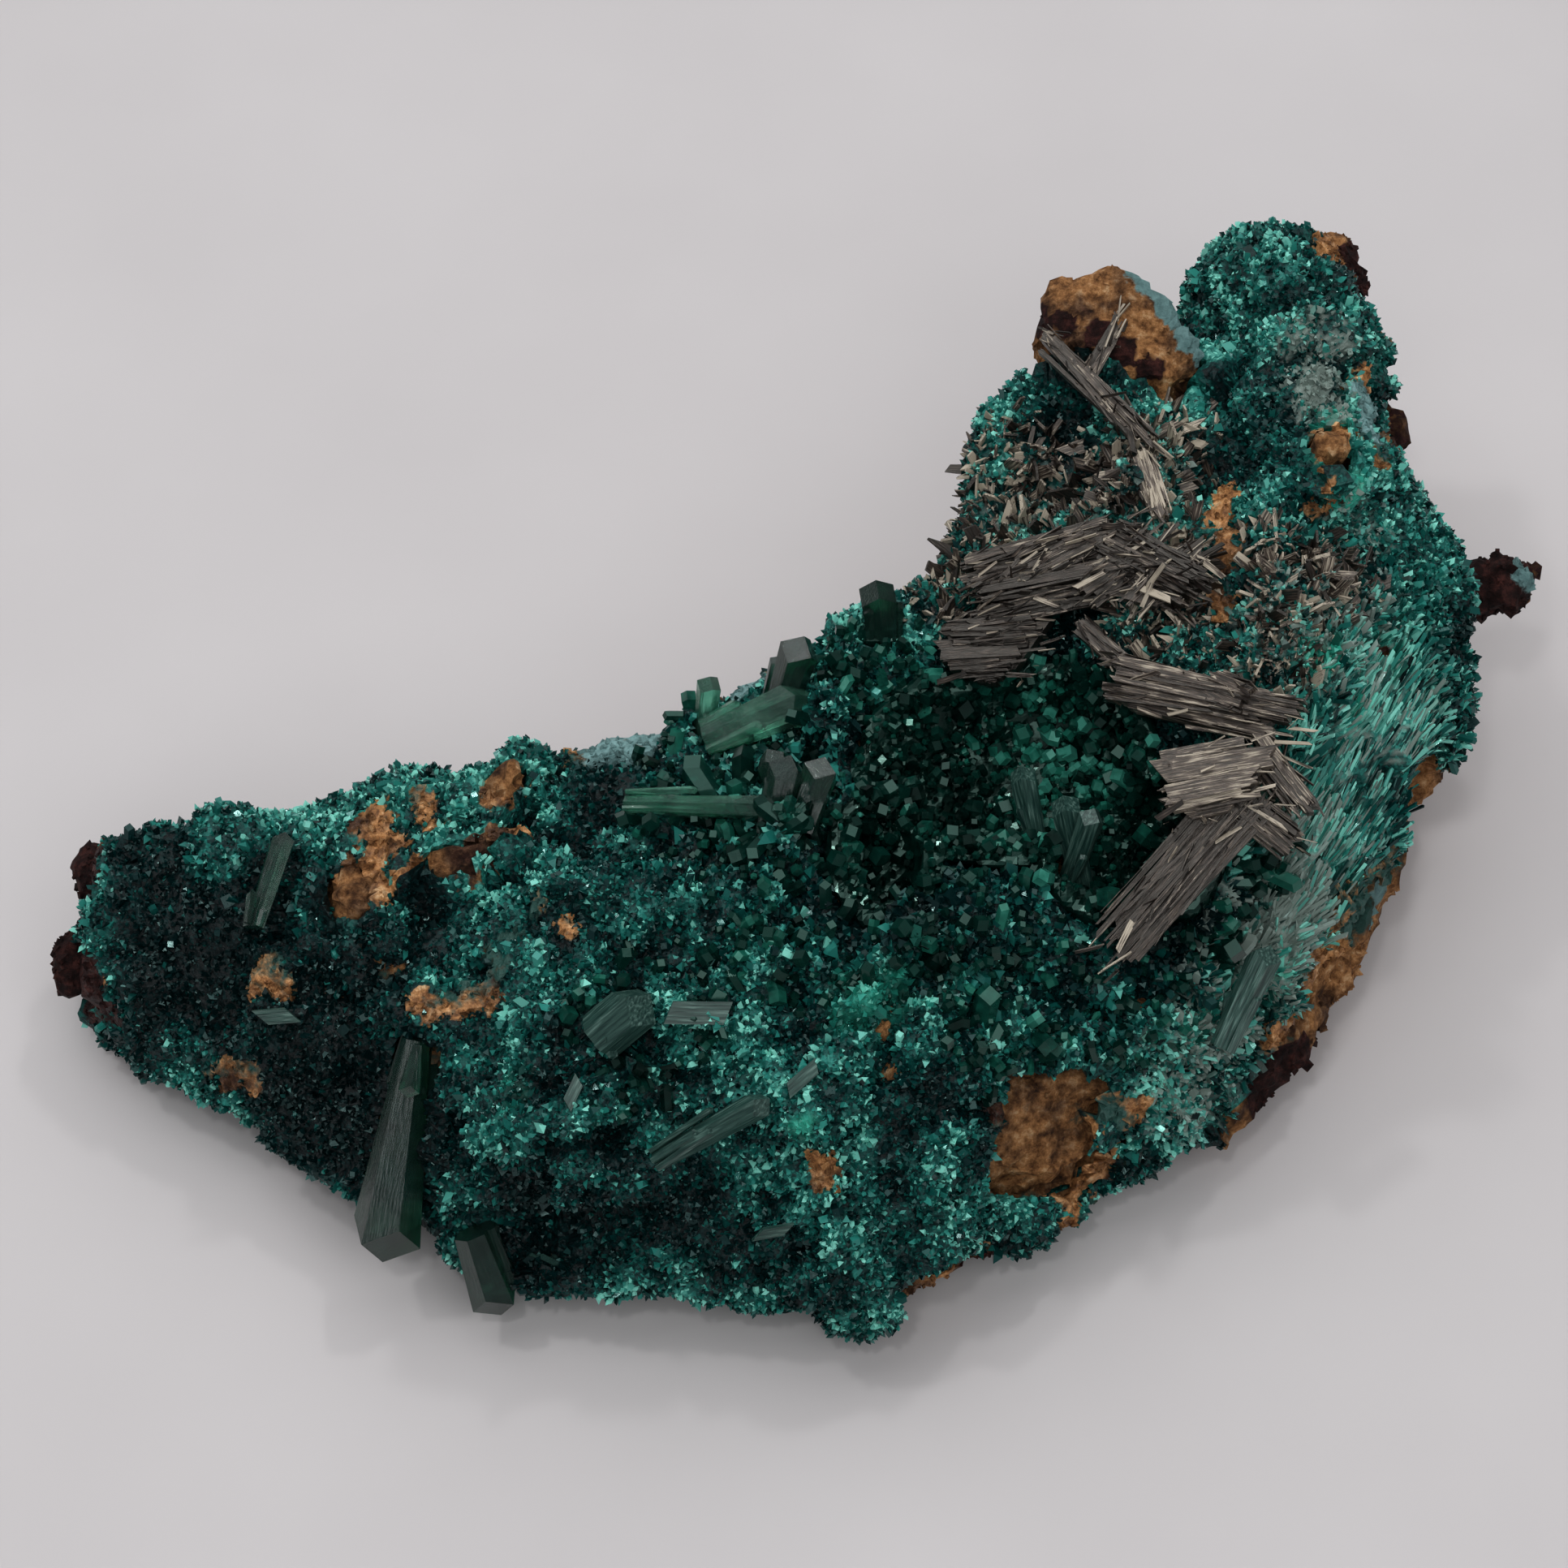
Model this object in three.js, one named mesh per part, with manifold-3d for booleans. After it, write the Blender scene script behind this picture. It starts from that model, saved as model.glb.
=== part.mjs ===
import * as THREE from "three";
import { ConvexGeometry } from "three/addons/geometries/ConvexGeometry.js";
import { mergeVertices } from "three/addons/utils/BufferGeometryUtils.js";
import Module from "manifold-3d";

const wasm = await Module();
wasm.setup();

// Driving dimensions, in millimetres
const GAP = 0.3; // clearance between two minerals that touch
const SLIVER = 0.03; // corners closer than this are one corner
const CRUST = 1.6; // thickness of the dioptase crust
const VUG_WALL = 1.1; // thickness of the crystal lining of the vug
const STATIONS = 28; // cross-sections along the rock, from the left tip to the tower
const RING = 16; // points round each cross-section
const TOP_SHARE = 0.64; // share of those points that lies above the rim
const FRONT_WRAP = 0.9; // from here round, the crust wraps under the front rim
const WRAP_END = 0.56; // but only up to this far along the rock
const UNDERSIDE_INSET = 1.2; // the outer skin draws in under the rim, so no crust is left below
const CRUST_FLOOR = 0.4; // the crust stops this far above the face that the rock rests on

// The rim of the rock seen from the front, [x, y, z], from the left tip round to the tower
const FRONT_RIM = [
  [-44, -10, 5], [-41.5, -14.5, 4.5], [-38.5, -17.5, 4.5], [-34, -20, 4.5], [-30, -23, 5],
  [-25.5, -26.5, 5], [-20, -30, 4.5], [-16, -33.2, 4], [-10, -32.8, 4], [-4.5, -32.8, 4],
  [0.5, -33.8, 3.5], [5, -35.5, 3], [11, -31, 3.5], [16, -28, 3.5], [20.5, -25, 3.5],
  [25, -24, 3], [29, -19.5, 3.5], [32, -15.5, 4.5], [35.8, -9.5, 6], [39, -3.5, 7],
  [41.5, 2, 8], [42.5, 7.5, 10], [40.5, 12.5, 12.5], [38.5, 18, 15], [38.3, 24, 17],
  [37, 29.5, 18], [35.5, 32.5, 18.5],
];
// The same stations along the back
const BACK_RIM = [
  [-43.5, -8, 6], [-42.5, -4.5, 8], [-39.5, -4, 9.5], [-34.5, -3.5, 10.5], [-29, -4.5, 11],
  [-26, -2, 11.5], [-23, -2, 12.5], [-18, -2, 13.5], [-15, -1, 14.5], [-10, -1.5, 15],
  [-5.5, 1, 16], [-2, 2.5, 17], [2, 5, 18], [5, 7.5, 19], [8, 8.5, 19],
  [9, 11.5, 19.5], [10.5, 14.5, 20.5], [12, 18.5, 21], [13.5, 22.5, 21.5], [16, 24.5, 22],
  [20.5, 25.5, 21], [24, 25, 19.5], [25, 27.5, 19], [26, 30, 19.5], [27.5, 32, 20],
  [30, 33.2, 20], [33, 33.6, 19.5],
];
// Height of the crest at each station, and how far across from the front rim it lies
const CREST = [
  [8.5, 0.6], [11.5, 0.7], [13, 0.78], [14, 0.8], [14.5, 0.8], [15.5, 0.78], [17, 0.74],
  [17.5, 0.7], [18, 0.64], [18, 0.6], [19, 0.55], [19.5, 0.5], [20, 0.5], [20.5, 0.52],
  [21, 0.52], [21.5, 0.5], [22.5, 0.46], [23.5, 0.42], [24.5, 0.38], [25, 0.38], [25.5, 0.45],
  [25, 0.5], [24.5, 0.5], [25.5, 0.5], [25.5, 0.5], [25, 0.5], [23, 0.5],
];

// Lumps (up) and hollows (down) of the outer surface, with the reach of each
const RELIEF = [
  { at: [-32.5, -6, 14], reach: 4.5, up: 1.5 },
  { at: [-27.5, -4, 14], reach: 2.6, up: -1.6 },
  { at: [-23.5, -4, 16], reach: 3.2, up: 1.3 },
  { at: [-19.5, -2, 16], reach: 2.2, up: -1.3 },
  { at: [-15.5, -2.5, 17], reach: 3.4, up: 1.6 },
  { at: [-25, -22, 11], reach: 4, up: -2.4 },
  { at: [-35, -14, 11], reach: 4, up: -0.9 },
  { at: [-13, -27.5, 14], reach: 6.5, up: 3 },
  { at: [-18, -31, 7.5], reach: 2.8, up: -3 },
  { at: [-14, -32, 7.5], reach: 2.8, up: -3.4 },
  { at: [-9.5, -32, 7.5], reach: 2.8, up: -3 },
  { at: [-4, -29, 11], reach: 3, up: -2.2 },
  { at: [0, -25, 15], reach: 3, up: 1.8 },
  { at: [5, -29, 11], reach: 3.5, up: 1.6 },
  { at: [-8, -15, 18], reach: 3.5, up: 1.4 },
  { at: [-3, -19, 18], reach: 3, up: -1.6 },
  { at: [-1, -9, 19], reach: 4, up: 1.6 },
  { at: [8.5, -19.5, 19], reach: 4.5, up: 1.8 },
  { at: [3.5, -17, 19], reach: 2.4, up: -2.2 },
  { at: [16, -21, 16.5], reach: 3, up: -1.4 },
  { at: [6, 3, 20], reach: 4, up: 1.8 },
  { at: [22, -20, 15], reach: 4, up: 1.2 },
  { at: [28, -15, 17], reach: 3.5, up: -1.3 },
  { at: [27.5, -9, 22], reach: 3.5, up: 1.6 },
  { at: [31, 0, 24], reach: 4, up: 2 },
  { at: [35, 6, 20], reach: 3.5, up: -1.6 },
  { at: [38, 9, 17], reach: 3.5, up: 1 },
  { at: [29, 9, 24], reach: 3.5, up: 1.3 },
  { at: [27, 15, 25], reach: 3.2, up: -2.4 },
  { at: [25.5, 22, 25], reach: 2.8, up: -3.6 },
  { at: [31, 25, 26], reach: 5, up: 1.8 },
  { at: [33, 17, 24], reach: 3, up: 1.2 },
  { at: [14, -6, 22], reach: 9, up: -3.4 },
];

// Flat broken faces that cut through crust and rock: centre, outward direction, width and height
const BREAK_DEPTH = 12;
const BREAKS = [
  { at: [14.6, -24.2, 10], out: [0.5, -0.75, 0.45], size: [7, 8.5] },
  { at: [20.5, -24.5, 6], out: [0.15, -0.9, 0.4], size: [8, 5] },
  { at: [34.5, -11, 7.5], out: [0.9, -0.4, 0.1], size: [9, 10] },
  { at: [38, -1, 9], out: [0.95, -0.3, 0.1], size: [12, 6] },
  { at: [9.5, -30.5, 3.5], out: [0.35, -0.9, 0.2], size: [8, 5] },
  { at: [-43.5, -8.5, 7], out: [-0.95, 0.1, 0.3], size: [12, 12] },
];

// Knobs of rock that stand out of the crust: centre, half sizes and turn about the upright in degrees
const KNOBS = [
  { at: [-42.2, -6, 7.5], half: [2, 2.2, 2.4], turn: 10 },
  { at: [-42.2, -10.4, 5], half: [2.2, 2.8, 2.4], turn: -15 },
  { at: [42.6, 12.3, 13.5], half: [3.8, 1.7, 1.9], turn: 12, detail: 1 },
  { at: [34.8, 31.4, 20.5], half: [2, 1.7, 2.2], turn: -35 },
  { at: [37.6, 22, 17.5], half: [1.3, 2.6, 2], turn: 8 },
  { at: [-25.2, -11.5, 14.8], half: [2.7, 2.2, 1.7], turn: 20 },
  { at: [-19, -10.5, 16.4], half: [3.6, 1.4, 1.6], turn: 14 },
  { at: [-16.3, -5, 16.6], half: [1.5, 1.7, 1.8], turn: -10 },
  { at: [33, 13.5, 25.4], half: [1.5, 1.6, 1.6], turn: 0 },
];

// The bare wedge of rock on the left shoulder of the tower, corner by corner
const WEDGE = [
  [15.5, 25, 22.5], [17.5, 26.5, 25.5], [20.5, 27, 27], [23.5, 25, 26.8], [26.3, 21.8, 24.6],
  [26, 20.2, 23], [23, 19.4, 23.8], [19.5, 21.5, 25.2], [15.5, 22.5, 22], [17, 22, 16],
  [24, 19, 17], [24, 25, 17], [18, 25.5, 17],
];
const WEDGE_SWELL = 1.6; // its corners move out by this many gaps, so that its faces move by one

// The vug is three overlapping hollows: centre and half sizes
const VUG = [
  { at: [13, -4.5, 19.5], half: [9.5, 7.5, 7] },
  { at: [20.5, -10, 18.5], half: [7, 6, 5.5] },
  { at: [6, -11, 18.5], half: [4, 6.5, 5] },
];

// Botryoidal lumps scattered over the crust; flat is their height as a share of their width
const LUMPS = { count: 4, smallest: 2, largest: 4.2, sunk: 0.42, flat: 0.7, seed: 5 };

// Small crystals fused to the crust, in patches: centre, reach, count, largest radius and largest length.
// Root is how deep each foot sits in the crust, lean how far a crystal may tilt off the surface.
const ROOT = 0.8;
const PRISM_LEAN = 1.6;
const SHARD_LEAN = 2.4;
const MOST_TRIES = 4000;
const SMALL_CRYSTALS = [
  { at: [0, -12, 19], reach: 8, count: 4, radius: 1.2, length: 3.4 },
  { at: [10, -19, 18], reach: 6, count: 3, radius: 1.2, length: 3 },
  { at: [25, -16, 17], reach: 6, count: 2, radius: 1.1, length: 3 },
  { at: [-10, -22, 16], reach: 10, count: 2, radius: 1, length: 2.6 },
  { at: [32, 20, 25], reach: 9, count: 2, radius: 1, length: 2.6 },
];
const SMALL_SHARDS = [
  { at: [17, 13, 23], reach: 6, count: 4, width: 1.5, length: 4.2 },
  { at: [31, 6, 25], reach: 5.5, count: 2, width: 1.5, length: 3.6 },
];
const VUG_CRYSTALS = { count: 8, radius: 1.25, length: 3.6, seed: 71 };

// Middling crystals fused to the crust where the rock carries them, each from foot to tip
const FUSED_PRISMS = [
  { from: [-31.2, -17.4, 12], to: [-28.2, -18.7, 13], radius: 1.1 },
  { from: [-6, -1.4, 15.3], to: [-6.2, -0.2, 18.8], radius: 1.05 },
  { from: [3.1, -3.4, 19], to: [2.6, -1.4, 22.9], radius: 1 },
  { from: [-7.4, -21.2, 17.8], to: [-3.2, -22.6, 18.8], radius: 0.8 },
  { from: [-1.7, -31, 10.4], to: [1.2, -31.4, 11], radius: 0.8 },
];

// Steepness of the three end faces of a dioptase prism: the drop from the apex, as a share of the radius
const CAP = 0.58;

// Large dioptase crystals, each from its foot in the crust to its tip; flat is the squash of the section
const DIOPTASE = {
  overhanging_prism: [{ from: [-21.6, -20.4, 13.4], to: [-23.5, -30.6, 4.4], radius: 2.3, flat: 0.9 }],
  front_low_prism: [{ from: [-18.2, -29.5, 6.5], to: [-16.6, -32.6, 2.2], radius: 1.5 }],
  left_slope_prism: [{ from: [-31, -13.6, 14.2], to: [-29.4, -7.6, 16.2], radius: 1.1 }],
  back_upright_prism: [{ from: [-5, -1.6, 15.5], to: [-4.4, 0.1, 21], radius: 0.75 }],
  back_long_prism: [{ from: [-4.6, -2.6, 18.2], to: [1.8, -1.2, 20.8], radius: 1.4 }],
  back_steep_prism: [{ from: [-0.4, -0.6, 18], to: [1.2, 1.6, 23], radius: 1.25 }],
  middle_long_prism: [{ from: [-9.3, -7.2, 18.2], to: [-0.2, -9, 20.4], radius: 1, flat: 0.7 }],
  middle_prism_cluster: [
    { from: [-0.6, -10.4, 19], to: [0.4, -6.6, 22.4], radius: 1.2 },
    { from: [1, -9.8, 19.4], to: [2.4, -6.6, 22.2], radius: 1.15 },
    { from: [0.2, -8.2, 18.8], to: [-1, -5.6, 21.6], radius: 0.9 },
  ],
  centre_block_prism: [{ from: [-10.6, -22.6, 17], to: [-7.6, -21.2, 19.4], radius: 1.5 }],
  pale_lath_prism: [{ from: [-7.2, -29, 14], to: [-0.8, -27.2, 17.9], radius: 1, flat: 0.8 }],
  back_edge_prism: [{ from: [6, 3.6, 19], to: [5.5, 5.8, 23], radius: 1.2 }],
  right_lath_prism: [{ from: [25.4, -21.2, 13.6], to: [28.2, -16.6, 17.4], radius: 1 }],
  vug_prisms: [
    { from: [15.6, -9.4, 13], to: [14, -5, 19], radius: 0.85 },
    { from: [18, -11.2, 13.4], to: [16.4, -7.4, 19.4], radius: 0.95 },
    { from: [16.2, -11.6, 13], to: [18.2, -8.6, 19.8], radius: 0.8 },
  ],
};

// Cerussite: striated blades and laths, each from end to end, with the direction that its broad face looks to
const TOWARDS_VIEWER = [0, -0.45, 1];
const BLADE_GROOVE = 0.14; // depth of a groove, as a share of the thickness
const END_SLANTS = [-0.21, 0.35]; // how steeply the two ends slant across the blade
const CERUSSITE = {
  cerussite_long_blade: [
    { from: [15.9, 23.4, 25.4], to: [22.6, 13.4, 25.6], width: 1.2, thick: 0.6 },
    { from: [18.4, 19.4, 25.2], to: [22.2, 16, 26.4], width: 1, thick: 0.5 },
  ],
  cerussite_bright_blade: [{ from: [21.5, 13.8, 25.2], to: [22.6, 8.2, 25.4], width: 1.5, thick: 0.6 }],
  cerussite_left_block: [{ from: [9.4, 2, 20.6], to: [15.7, 1.6, 22.2], width: 4, thick: 1.8 }],
  cerussite_bundle: [
    { from: [10.5, 6.6, 21.6], to: [21.7, 7.6, 25.2], width: 3, thick: 1.4 },
    { from: [11, 4.4, 21.8], to: [21.3, 4.8, 24.8], width: 3, thick: 1.5 },
    { from: [18.8, 7.4, 24.8], to: [25.2, 2.4, 25.6], width: 4, thick: 1.5 },
  ],
  cerussite_lath: [{ from: [17.4, 2.6, 23], to: [21.2, -1.8, 22.8], width: 1.2, thick: 0.6 }],
  cerussite_cluster: [
    { from: [18.4, -1.8, 23.2], to: [30.2, -6.8, 25.8], width: 3.2, thick: 1.3 },
    { from: [21.4, -10.4, 24], to: [28.2, -10, 25.6], width: 4.2, thick: 1.8 },
    { from: [27.4, -9.6, 24.8], to: [18, -18.2, 17.6], width: 3, thick: 1.2 },
    { from: [24.4, -9.6, 24.4], to: [29.8, -13.4, 22.2], width: 2, thick: 1.2, ridges: 1 },
    { from: [27, -7.4, 24.8], to: [30.4, -12, 23.8], width: 1.8, thick: 1.1, ridges: 1 },
  ],
};

// A repeatable pseudo-random number from three whole numbers
function hash(i, j, k) {
  let h = Math.imul(i, 374761393) ^ Math.imul(j, 668265263) ^ Math.imul(k, 873209374);
  h = Math.imul(h ^ (h >>> 13), 1274126177);
  return ((h ^ (h >>> 16)) >>> 0) / 4294967295;
}

// Smooth value noise between -1 and 1
function noise(x, y, z) {
  const [i, j, k] = [Math.floor(x), Math.floor(y), Math.floor(z)];
  const ease = (t) => t * t * (3 - 2 * t);
  const [a, b, c] = [ease(x - i), ease(y - j), ease(z - k)];
  const mix = THREE.MathUtils.lerp;
  const row = (dj, dk) => mix(hash(i, j + dj, k + dk), hash(i + 1, j + dj, k + dk), a);
  return 2 * mix(mix(row(0, 0), row(1, 0), b), mix(row(0, 1), row(1, 1), b), c) - 1;
}

// Hummocks, lumps and broken rock: three sizes of noise
function roughness(p) {
  const octave = (size, height) => height * noise(p.x / size + 31, p.y / size + 17, p.z / size + 5);
  return octave(8, 0.9) + octave(4.6, 0.8) + octave(2.9, 0.6);
}

const vector = (values) => new THREE.Vector3(...values);
const curve = (points) => new THREE.CatmullRomCurve3(points.map(vector), false, "centripetal");
const frontRim = curve(FRONT_RIM);
const backRim = curve(BACK_RIM);
const crestLine = curve(CREST.map(([height, across]) => [height, across, 0]));

// The smooth rock: along runs from the left tip to the tower, around once round the section
function smoothPoint(along, around) {
  const front = frontRim.getPoint(along);
  const back = backRim.getPoint(along);
  const { x: crest, y: crestAt } = crestLine.getPoint(along);
  if (around <= TOP_SHARE) {
    const t = (1 - Math.cos((Math.PI * around) / TOP_SHARE)) / 2;
    const p = front.clone().lerp(back, t);
    const side = t < crestAt ? 1 - t / crestAt : (t - crestAt) / (1 - crestAt);
    const power = t < crestAt ? 1.9 : 2.6;
    const rise = Math.pow(Math.max(0, 1 - Math.pow(side, power)), 1 / power);
    p.z += rise * (crest - p.z);
    return p;
  }
  const t = (1 + Math.cos((Math.PI * (around - TOP_SHARE)) / (1 - TOP_SHARE))) / 2;
  const p = front.clone().lerp(back, t);
  const drop = Math.pow(1 - Math.pow(Math.abs(2 * t - 1), 1.6), 1 / 1.6);
  p.z *= 1 - 1.3 * drop;
  return p;
}

// Outward normal of the smooth rock
function smoothNormal(along, around) {
  const step = 0.004;
  const [a0, a1] = [Math.max(0, along - step), Math.min(1, along + step)];
  const wrap = (v) => (v + 1) % 1;
  const du = smoothPoint(a1, around).sub(smoothPoint(a0, around));
  const dv = smoothPoint(along, wrap(around + step)).sub(smoothPoint(along, wrap(around - step)));
  return du.cross(dv).normalize();
}

// A point on the rough outer surface, its direction, and whether it is the crusted upper side
function surfaceAt(along, around) {
  const p = smoothPoint(along, around);
  const normal = smoothNormal(along, around);
  let rise = roughness(p);
  for (const { at, reach, up } of RELIEF) {
    const near = p.distanceTo(vector(at)) / reach;
    rise += up * Math.exp(-near * near);
  }
  const onTop = around > 0 && around < TOP_SHARE;
  const wrapped = (around === 0 || around > FRONT_WRAP) && along < WRAP_END;
  return { p: p.addScaledVector(normal, rise), normal, covered: onTop || wrapped };
}

// A closed skin over all stations, with each point set in by depth(surface)
function loft(depth) {
  const points = [];
  for (let i = 0; i < STATIONS; i++)
    for (let j = 0; j < RING; j++) {
      const surface = surfaceAt(i / (STATIONS - 1), j / RING);
      points.push(surface.p.addScaledVector(surface.normal, -depth(surface)));
    }
  const faces = [];
  const at = (i, j) => i * RING + (j % RING);
  for (let i = 0; i < STATIONS - 1; i++)
    for (let j = 0; j < RING; j++) {
      faces.push(at(i, j), at(i + 1, j), at(i + 1, j + 1));
      faces.push(at(i, j), at(i + 1, j + 1), at(i, j + 1));
    }
  for (const [i, flip] of [[0, false], [STATIONS - 1, true]]) {
    const end = points.slice(i * RING, (i + 1) * RING);
    const middle = end.reduce((sum, p) => sum.add(p), new THREE.Vector3()).divideScalar(RING);
    const hub = points.push(middle) - 1;
    for (let j = 0; j < RING; j++) {
      if (flip) faces.push(hub, at(i, j + 1), at(i, j));
      else faces.push(hub, at(i, j), at(i, j + 1));
    }
  }
  return new THREE.BufferGeometry().setFromPoints(points).setIndex(faces);
}

// A closed solid from a closed geometry; points nearer than weld become one
function solid(geometry, weld = 1e-3) {
  const bare = geometry.clone();
  for (const name of Object.keys(bare.attributes)) {
    if (name !== "position") bare.deleteAttribute(name);
  }
  const merged = mergeVertices(bare, weld);
  const corners = merged.index.array;
  const kept = [];
  for (let i = 0; i < corners.length; i += 3) {
    const [a, b, c] = corners.slice(i, i + 3);
    if (a !== b && b !== c && c !== a) kept.push(a, b, c);
  }
  return new wasm.Manifold(
    new wasm.Mesh({
      numProp: 3,
      vertProperties: new Float32Array(merged.attributes.position.array),
      triVerts: new Uint32Array(kept),
    }),
  );
}

// The geometry of a closed solid
function geometryOf(made) {
  const mesh = made.getMesh();
  return new THREE.BufferGeometry()
    .setAttribute("position", new THREE.BufferAttribute(mesh.vertProperties, 3))
    .setIndex(new THREE.BufferAttribute(mesh.triVerts, 1));
}

const join = (solids) => wasm.Manifold.union(solids);
const largest = (made) => made.decompose().reduce((a, b) => (a.volume() > b.volume() ? a : b));
// The one body that is left once slivers and crumbs are dropped
const clean = (made) => largest(solid(geometryOf(largest(made)), SLIVER));

// The turn that takes the upright to a direction
const turnTo = (axis) => new THREE.Quaternion().setFromUnitVectors(new THREE.Vector3(0, 0, 1), axis);

// A lumpy ellipsoid with flat facets, swollen all round by grow; its own upright points along up
function boulder({ at, half, turn = 0, up = [0, 0, 1] }, grow, detail, lumpiness) {
  const geometry = new THREE.IcosahedronGeometry(1, detail);
  const spots = geometry.attributes.position;
  const p = new THREE.Vector3();
  for (let i = 0; i < spots.count; i++) {
    p.fromBufferAttribute(spots, i);
    const bump = 1 + lumpiness * noise(p.x * 2 + at[0], p.y * 2 + at[1], p.z * 2 + at[2]);
    p.set(p.x * (half[0] * bump + grow), p.y * (half[1] * bump + grow), p.z * (half[2] * bump + grow));
    spots.setXYZ(i, p.x, p.y, p.z);
  }
  geometry.rotateZ(THREE.MathUtils.degToRad(turn)).applyQuaternion(turnTo(vector(up))).translate(...at);
  return solid(geometry);
}

// The convex block through some corners, moved out from its middle by grow
function block(corners, grow) {
  const sum = corners.reduce((total, corner) => total.add(vector(corner)), new THREE.Vector3());
  const middle = sum.divideScalar(corners.length);
  const swollen = corners.map((corner) => {
    const arm = vector(corner).sub(middle);
    return arm.setLength(arm.length() + grow).add(middle);
  });
  return solid(new ConvexGeometry(swollen));
}

// The space outside a flat broken face
function chip({ at, out, size }) {
  const geometry = new THREE.BoxGeometry(size[0], size[1], BREAK_DEPTH).translate(0, 0, BREAK_DEPTH / 2);
  return solid(geometry.applyQuaternion(turnTo(vector(out).normalize())).translate(...at));
}

// The hollow of the vug, smaller all round by inset
const hollow = (inset) => join(VUG.map((part) => boulder(part, -inset, 1, 0.2)));

const above = (height) => solid(new THREE.BoxGeometry(200, 200, 100).translate(0, 0, 50 + height));
const chips = join(BREAKS.map(chip));
const knobs = (grow) => {
  const lumpy = KNOBS.map((knob) => boulder(knob, grow, knob.detail ?? 0, 0.3));
  return join([...lumpy, block(WEDGE, WEDGE_SWELL * grow)]);
};

// A hexagonal prism with three rhombic end faces, swollen all round by grow
function prism({ from, to, radius, flat = 1, spin = 0 }, grow = 0) {
  const foot = vector(from);
  const axis = vector(to).sub(foot);
  const tip = axis.length() + grow;
  const corners = [new THREE.Vector3(0, 0, tip)];
  for (let k = 0; k < 6; k++) {
    const angle = spin + (k * Math.PI) / 3;
    const [x, y] = [(radius + grow) * Math.cos(angle), (flat * radius + grow) * Math.sin(angle)];
    const drop = CAP * radius * (k % 2 ? 1 : 2);
    corners.push(new THREE.Vector3(x, y, -grow), new THREE.Vector3(x, y, tip - drop));
  }
  const lean = turnTo(axis.normalize());
  return solid(new ConvexGeometry(corners.map((corner) => corner.applyQuaternion(lean).add(foot))));
}

// A striated blade with slanting ends: a grooved section drawn out from end to end
function blade({ from, to, width, thick, face = TOWARDS_VIEWER, ridges = 3 }, grow = 0) {
  const [halfWidth, halfThick] = [width / 2 + grow, thick / 2 + grow];
  const outline = [new THREE.Vector2(-halfWidth, -halfThick), new THREE.Vector2(halfWidth, -halfThick)];
  const steps = grow ? 1 : 2 * ridges;
  for (let k = steps; k >= 0; k--) {
    const groove = k % 2 && !grow ? BLADE_GROOVE * thick : 0;
    outline.push(new THREE.Vector2(halfWidth * ((2 * k) / steps - 1), halfThick - groove));
  }
  const axis = vector(to).sub(vector(from));
  const depth = axis.length() + 2 * grow;
  const geometry = new THREE.ExtrudeGeometry(new THREE.Shape(outline), { depth, bevelEnabled: false });
  const spots = geometry.attributes.position;
  for (let i = 0; i < spots.count; i++) {
    const slant = spots.getZ(i) > depth / 2 ? END_SLANTS[1] : END_SLANTS[0];
    spots.setZ(i, spots.getZ(i) - grow + slant * spots.getX(i));
  }
  axis.normalize();
  const across = vector(face).cross(axis).normalize();
  const basis = new THREE.Matrix4().makeBasis(across, axis.clone().cross(across), axis);
  return solid(geometry.applyMatrix4(basis.setPosition(...from)));
}

// One lump of the crust, at a repeatable random place on the upper side
function lump(k) {
  const random = (n) => hash(k, n, LUMPS.seed);
  const { p, normal } = surfaceAt(0.04 + 0.92 * random(1), TOP_SHARE * (0.2 + 0.64 * random(2)));
  const size = LUMPS.smallest + (LUMPS.largest - LUMPS.smallest) * random(3) ** 1.5;
  const at = p.addScaledVector(normal, -LUMPS.sunk * size).toArray();
  const half = [size * (0.8 + 0.5 * random(4)), size * (0.8 + 0.5 * random(5)), size * LUMPS.flat];
  return boulder({ at, half, turn: 180 * random(6), up: normal.toArray() }, 0, 0, 0.35);
}

// Repeatable random places within the reach of a patch, each with a direction that leans off the surface
function placesIn({ at, reach, count }, seed, lean) {
  const places = [];
  for (let k = 0; places.length < count && k < MOST_TRIES; k++) {
    const random = (n) => hash(k, n, seed);
    const { p, normal } = surfaceAt(random(1), TOP_SHARE * (0.08 + 0.84 * random(2)));
    if (p.distanceTo(vector(at)) > reach) continue;
    const off = new THREE.Vector3(random(3) - 0.5, random(4) - 0.5, random(5) - 0.5);
    const axis = normal.addScaledVector(off, lean).normalize();
    places.push({ foot: p.addScaledVector(axis, -ROOT), axis, random });
  }
  return places;
}

// Small dioptase prisms of one patch of the crust
function smallPrisms(patch, index) {
  return placesIn(patch, 11 + index, PRISM_LEAN).map(({ foot, axis, random }) => {
    const size = 0.55 + 0.45 * random(6);
    const to = foot.clone().addScaledVector(axis, patch.length * size).toArray();
    return prism({ from: foot.toArray(), to, radius: patch.radius * size, spin: random(7) });
  });
}

// Small cerussite shards of one patch of the crust
function smallShards(patch, index) {
  return placesIn(patch, 31 + index, SHARD_LEAN).map(({ foot, axis, random }) => {
    const size = 0.5 + 0.5 * random(6);
    const to = foot.clone().addScaledVector(axis, patch.length * size).toArray();
    const face = [random(7) - 0.5, random(8) - 0.5, 1];
    const width = patch.width * size;
    return blade({ from: foot.toArray(), to, width, thick: 0.4 * width, face, ridges: 1 });
  });
}

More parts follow.
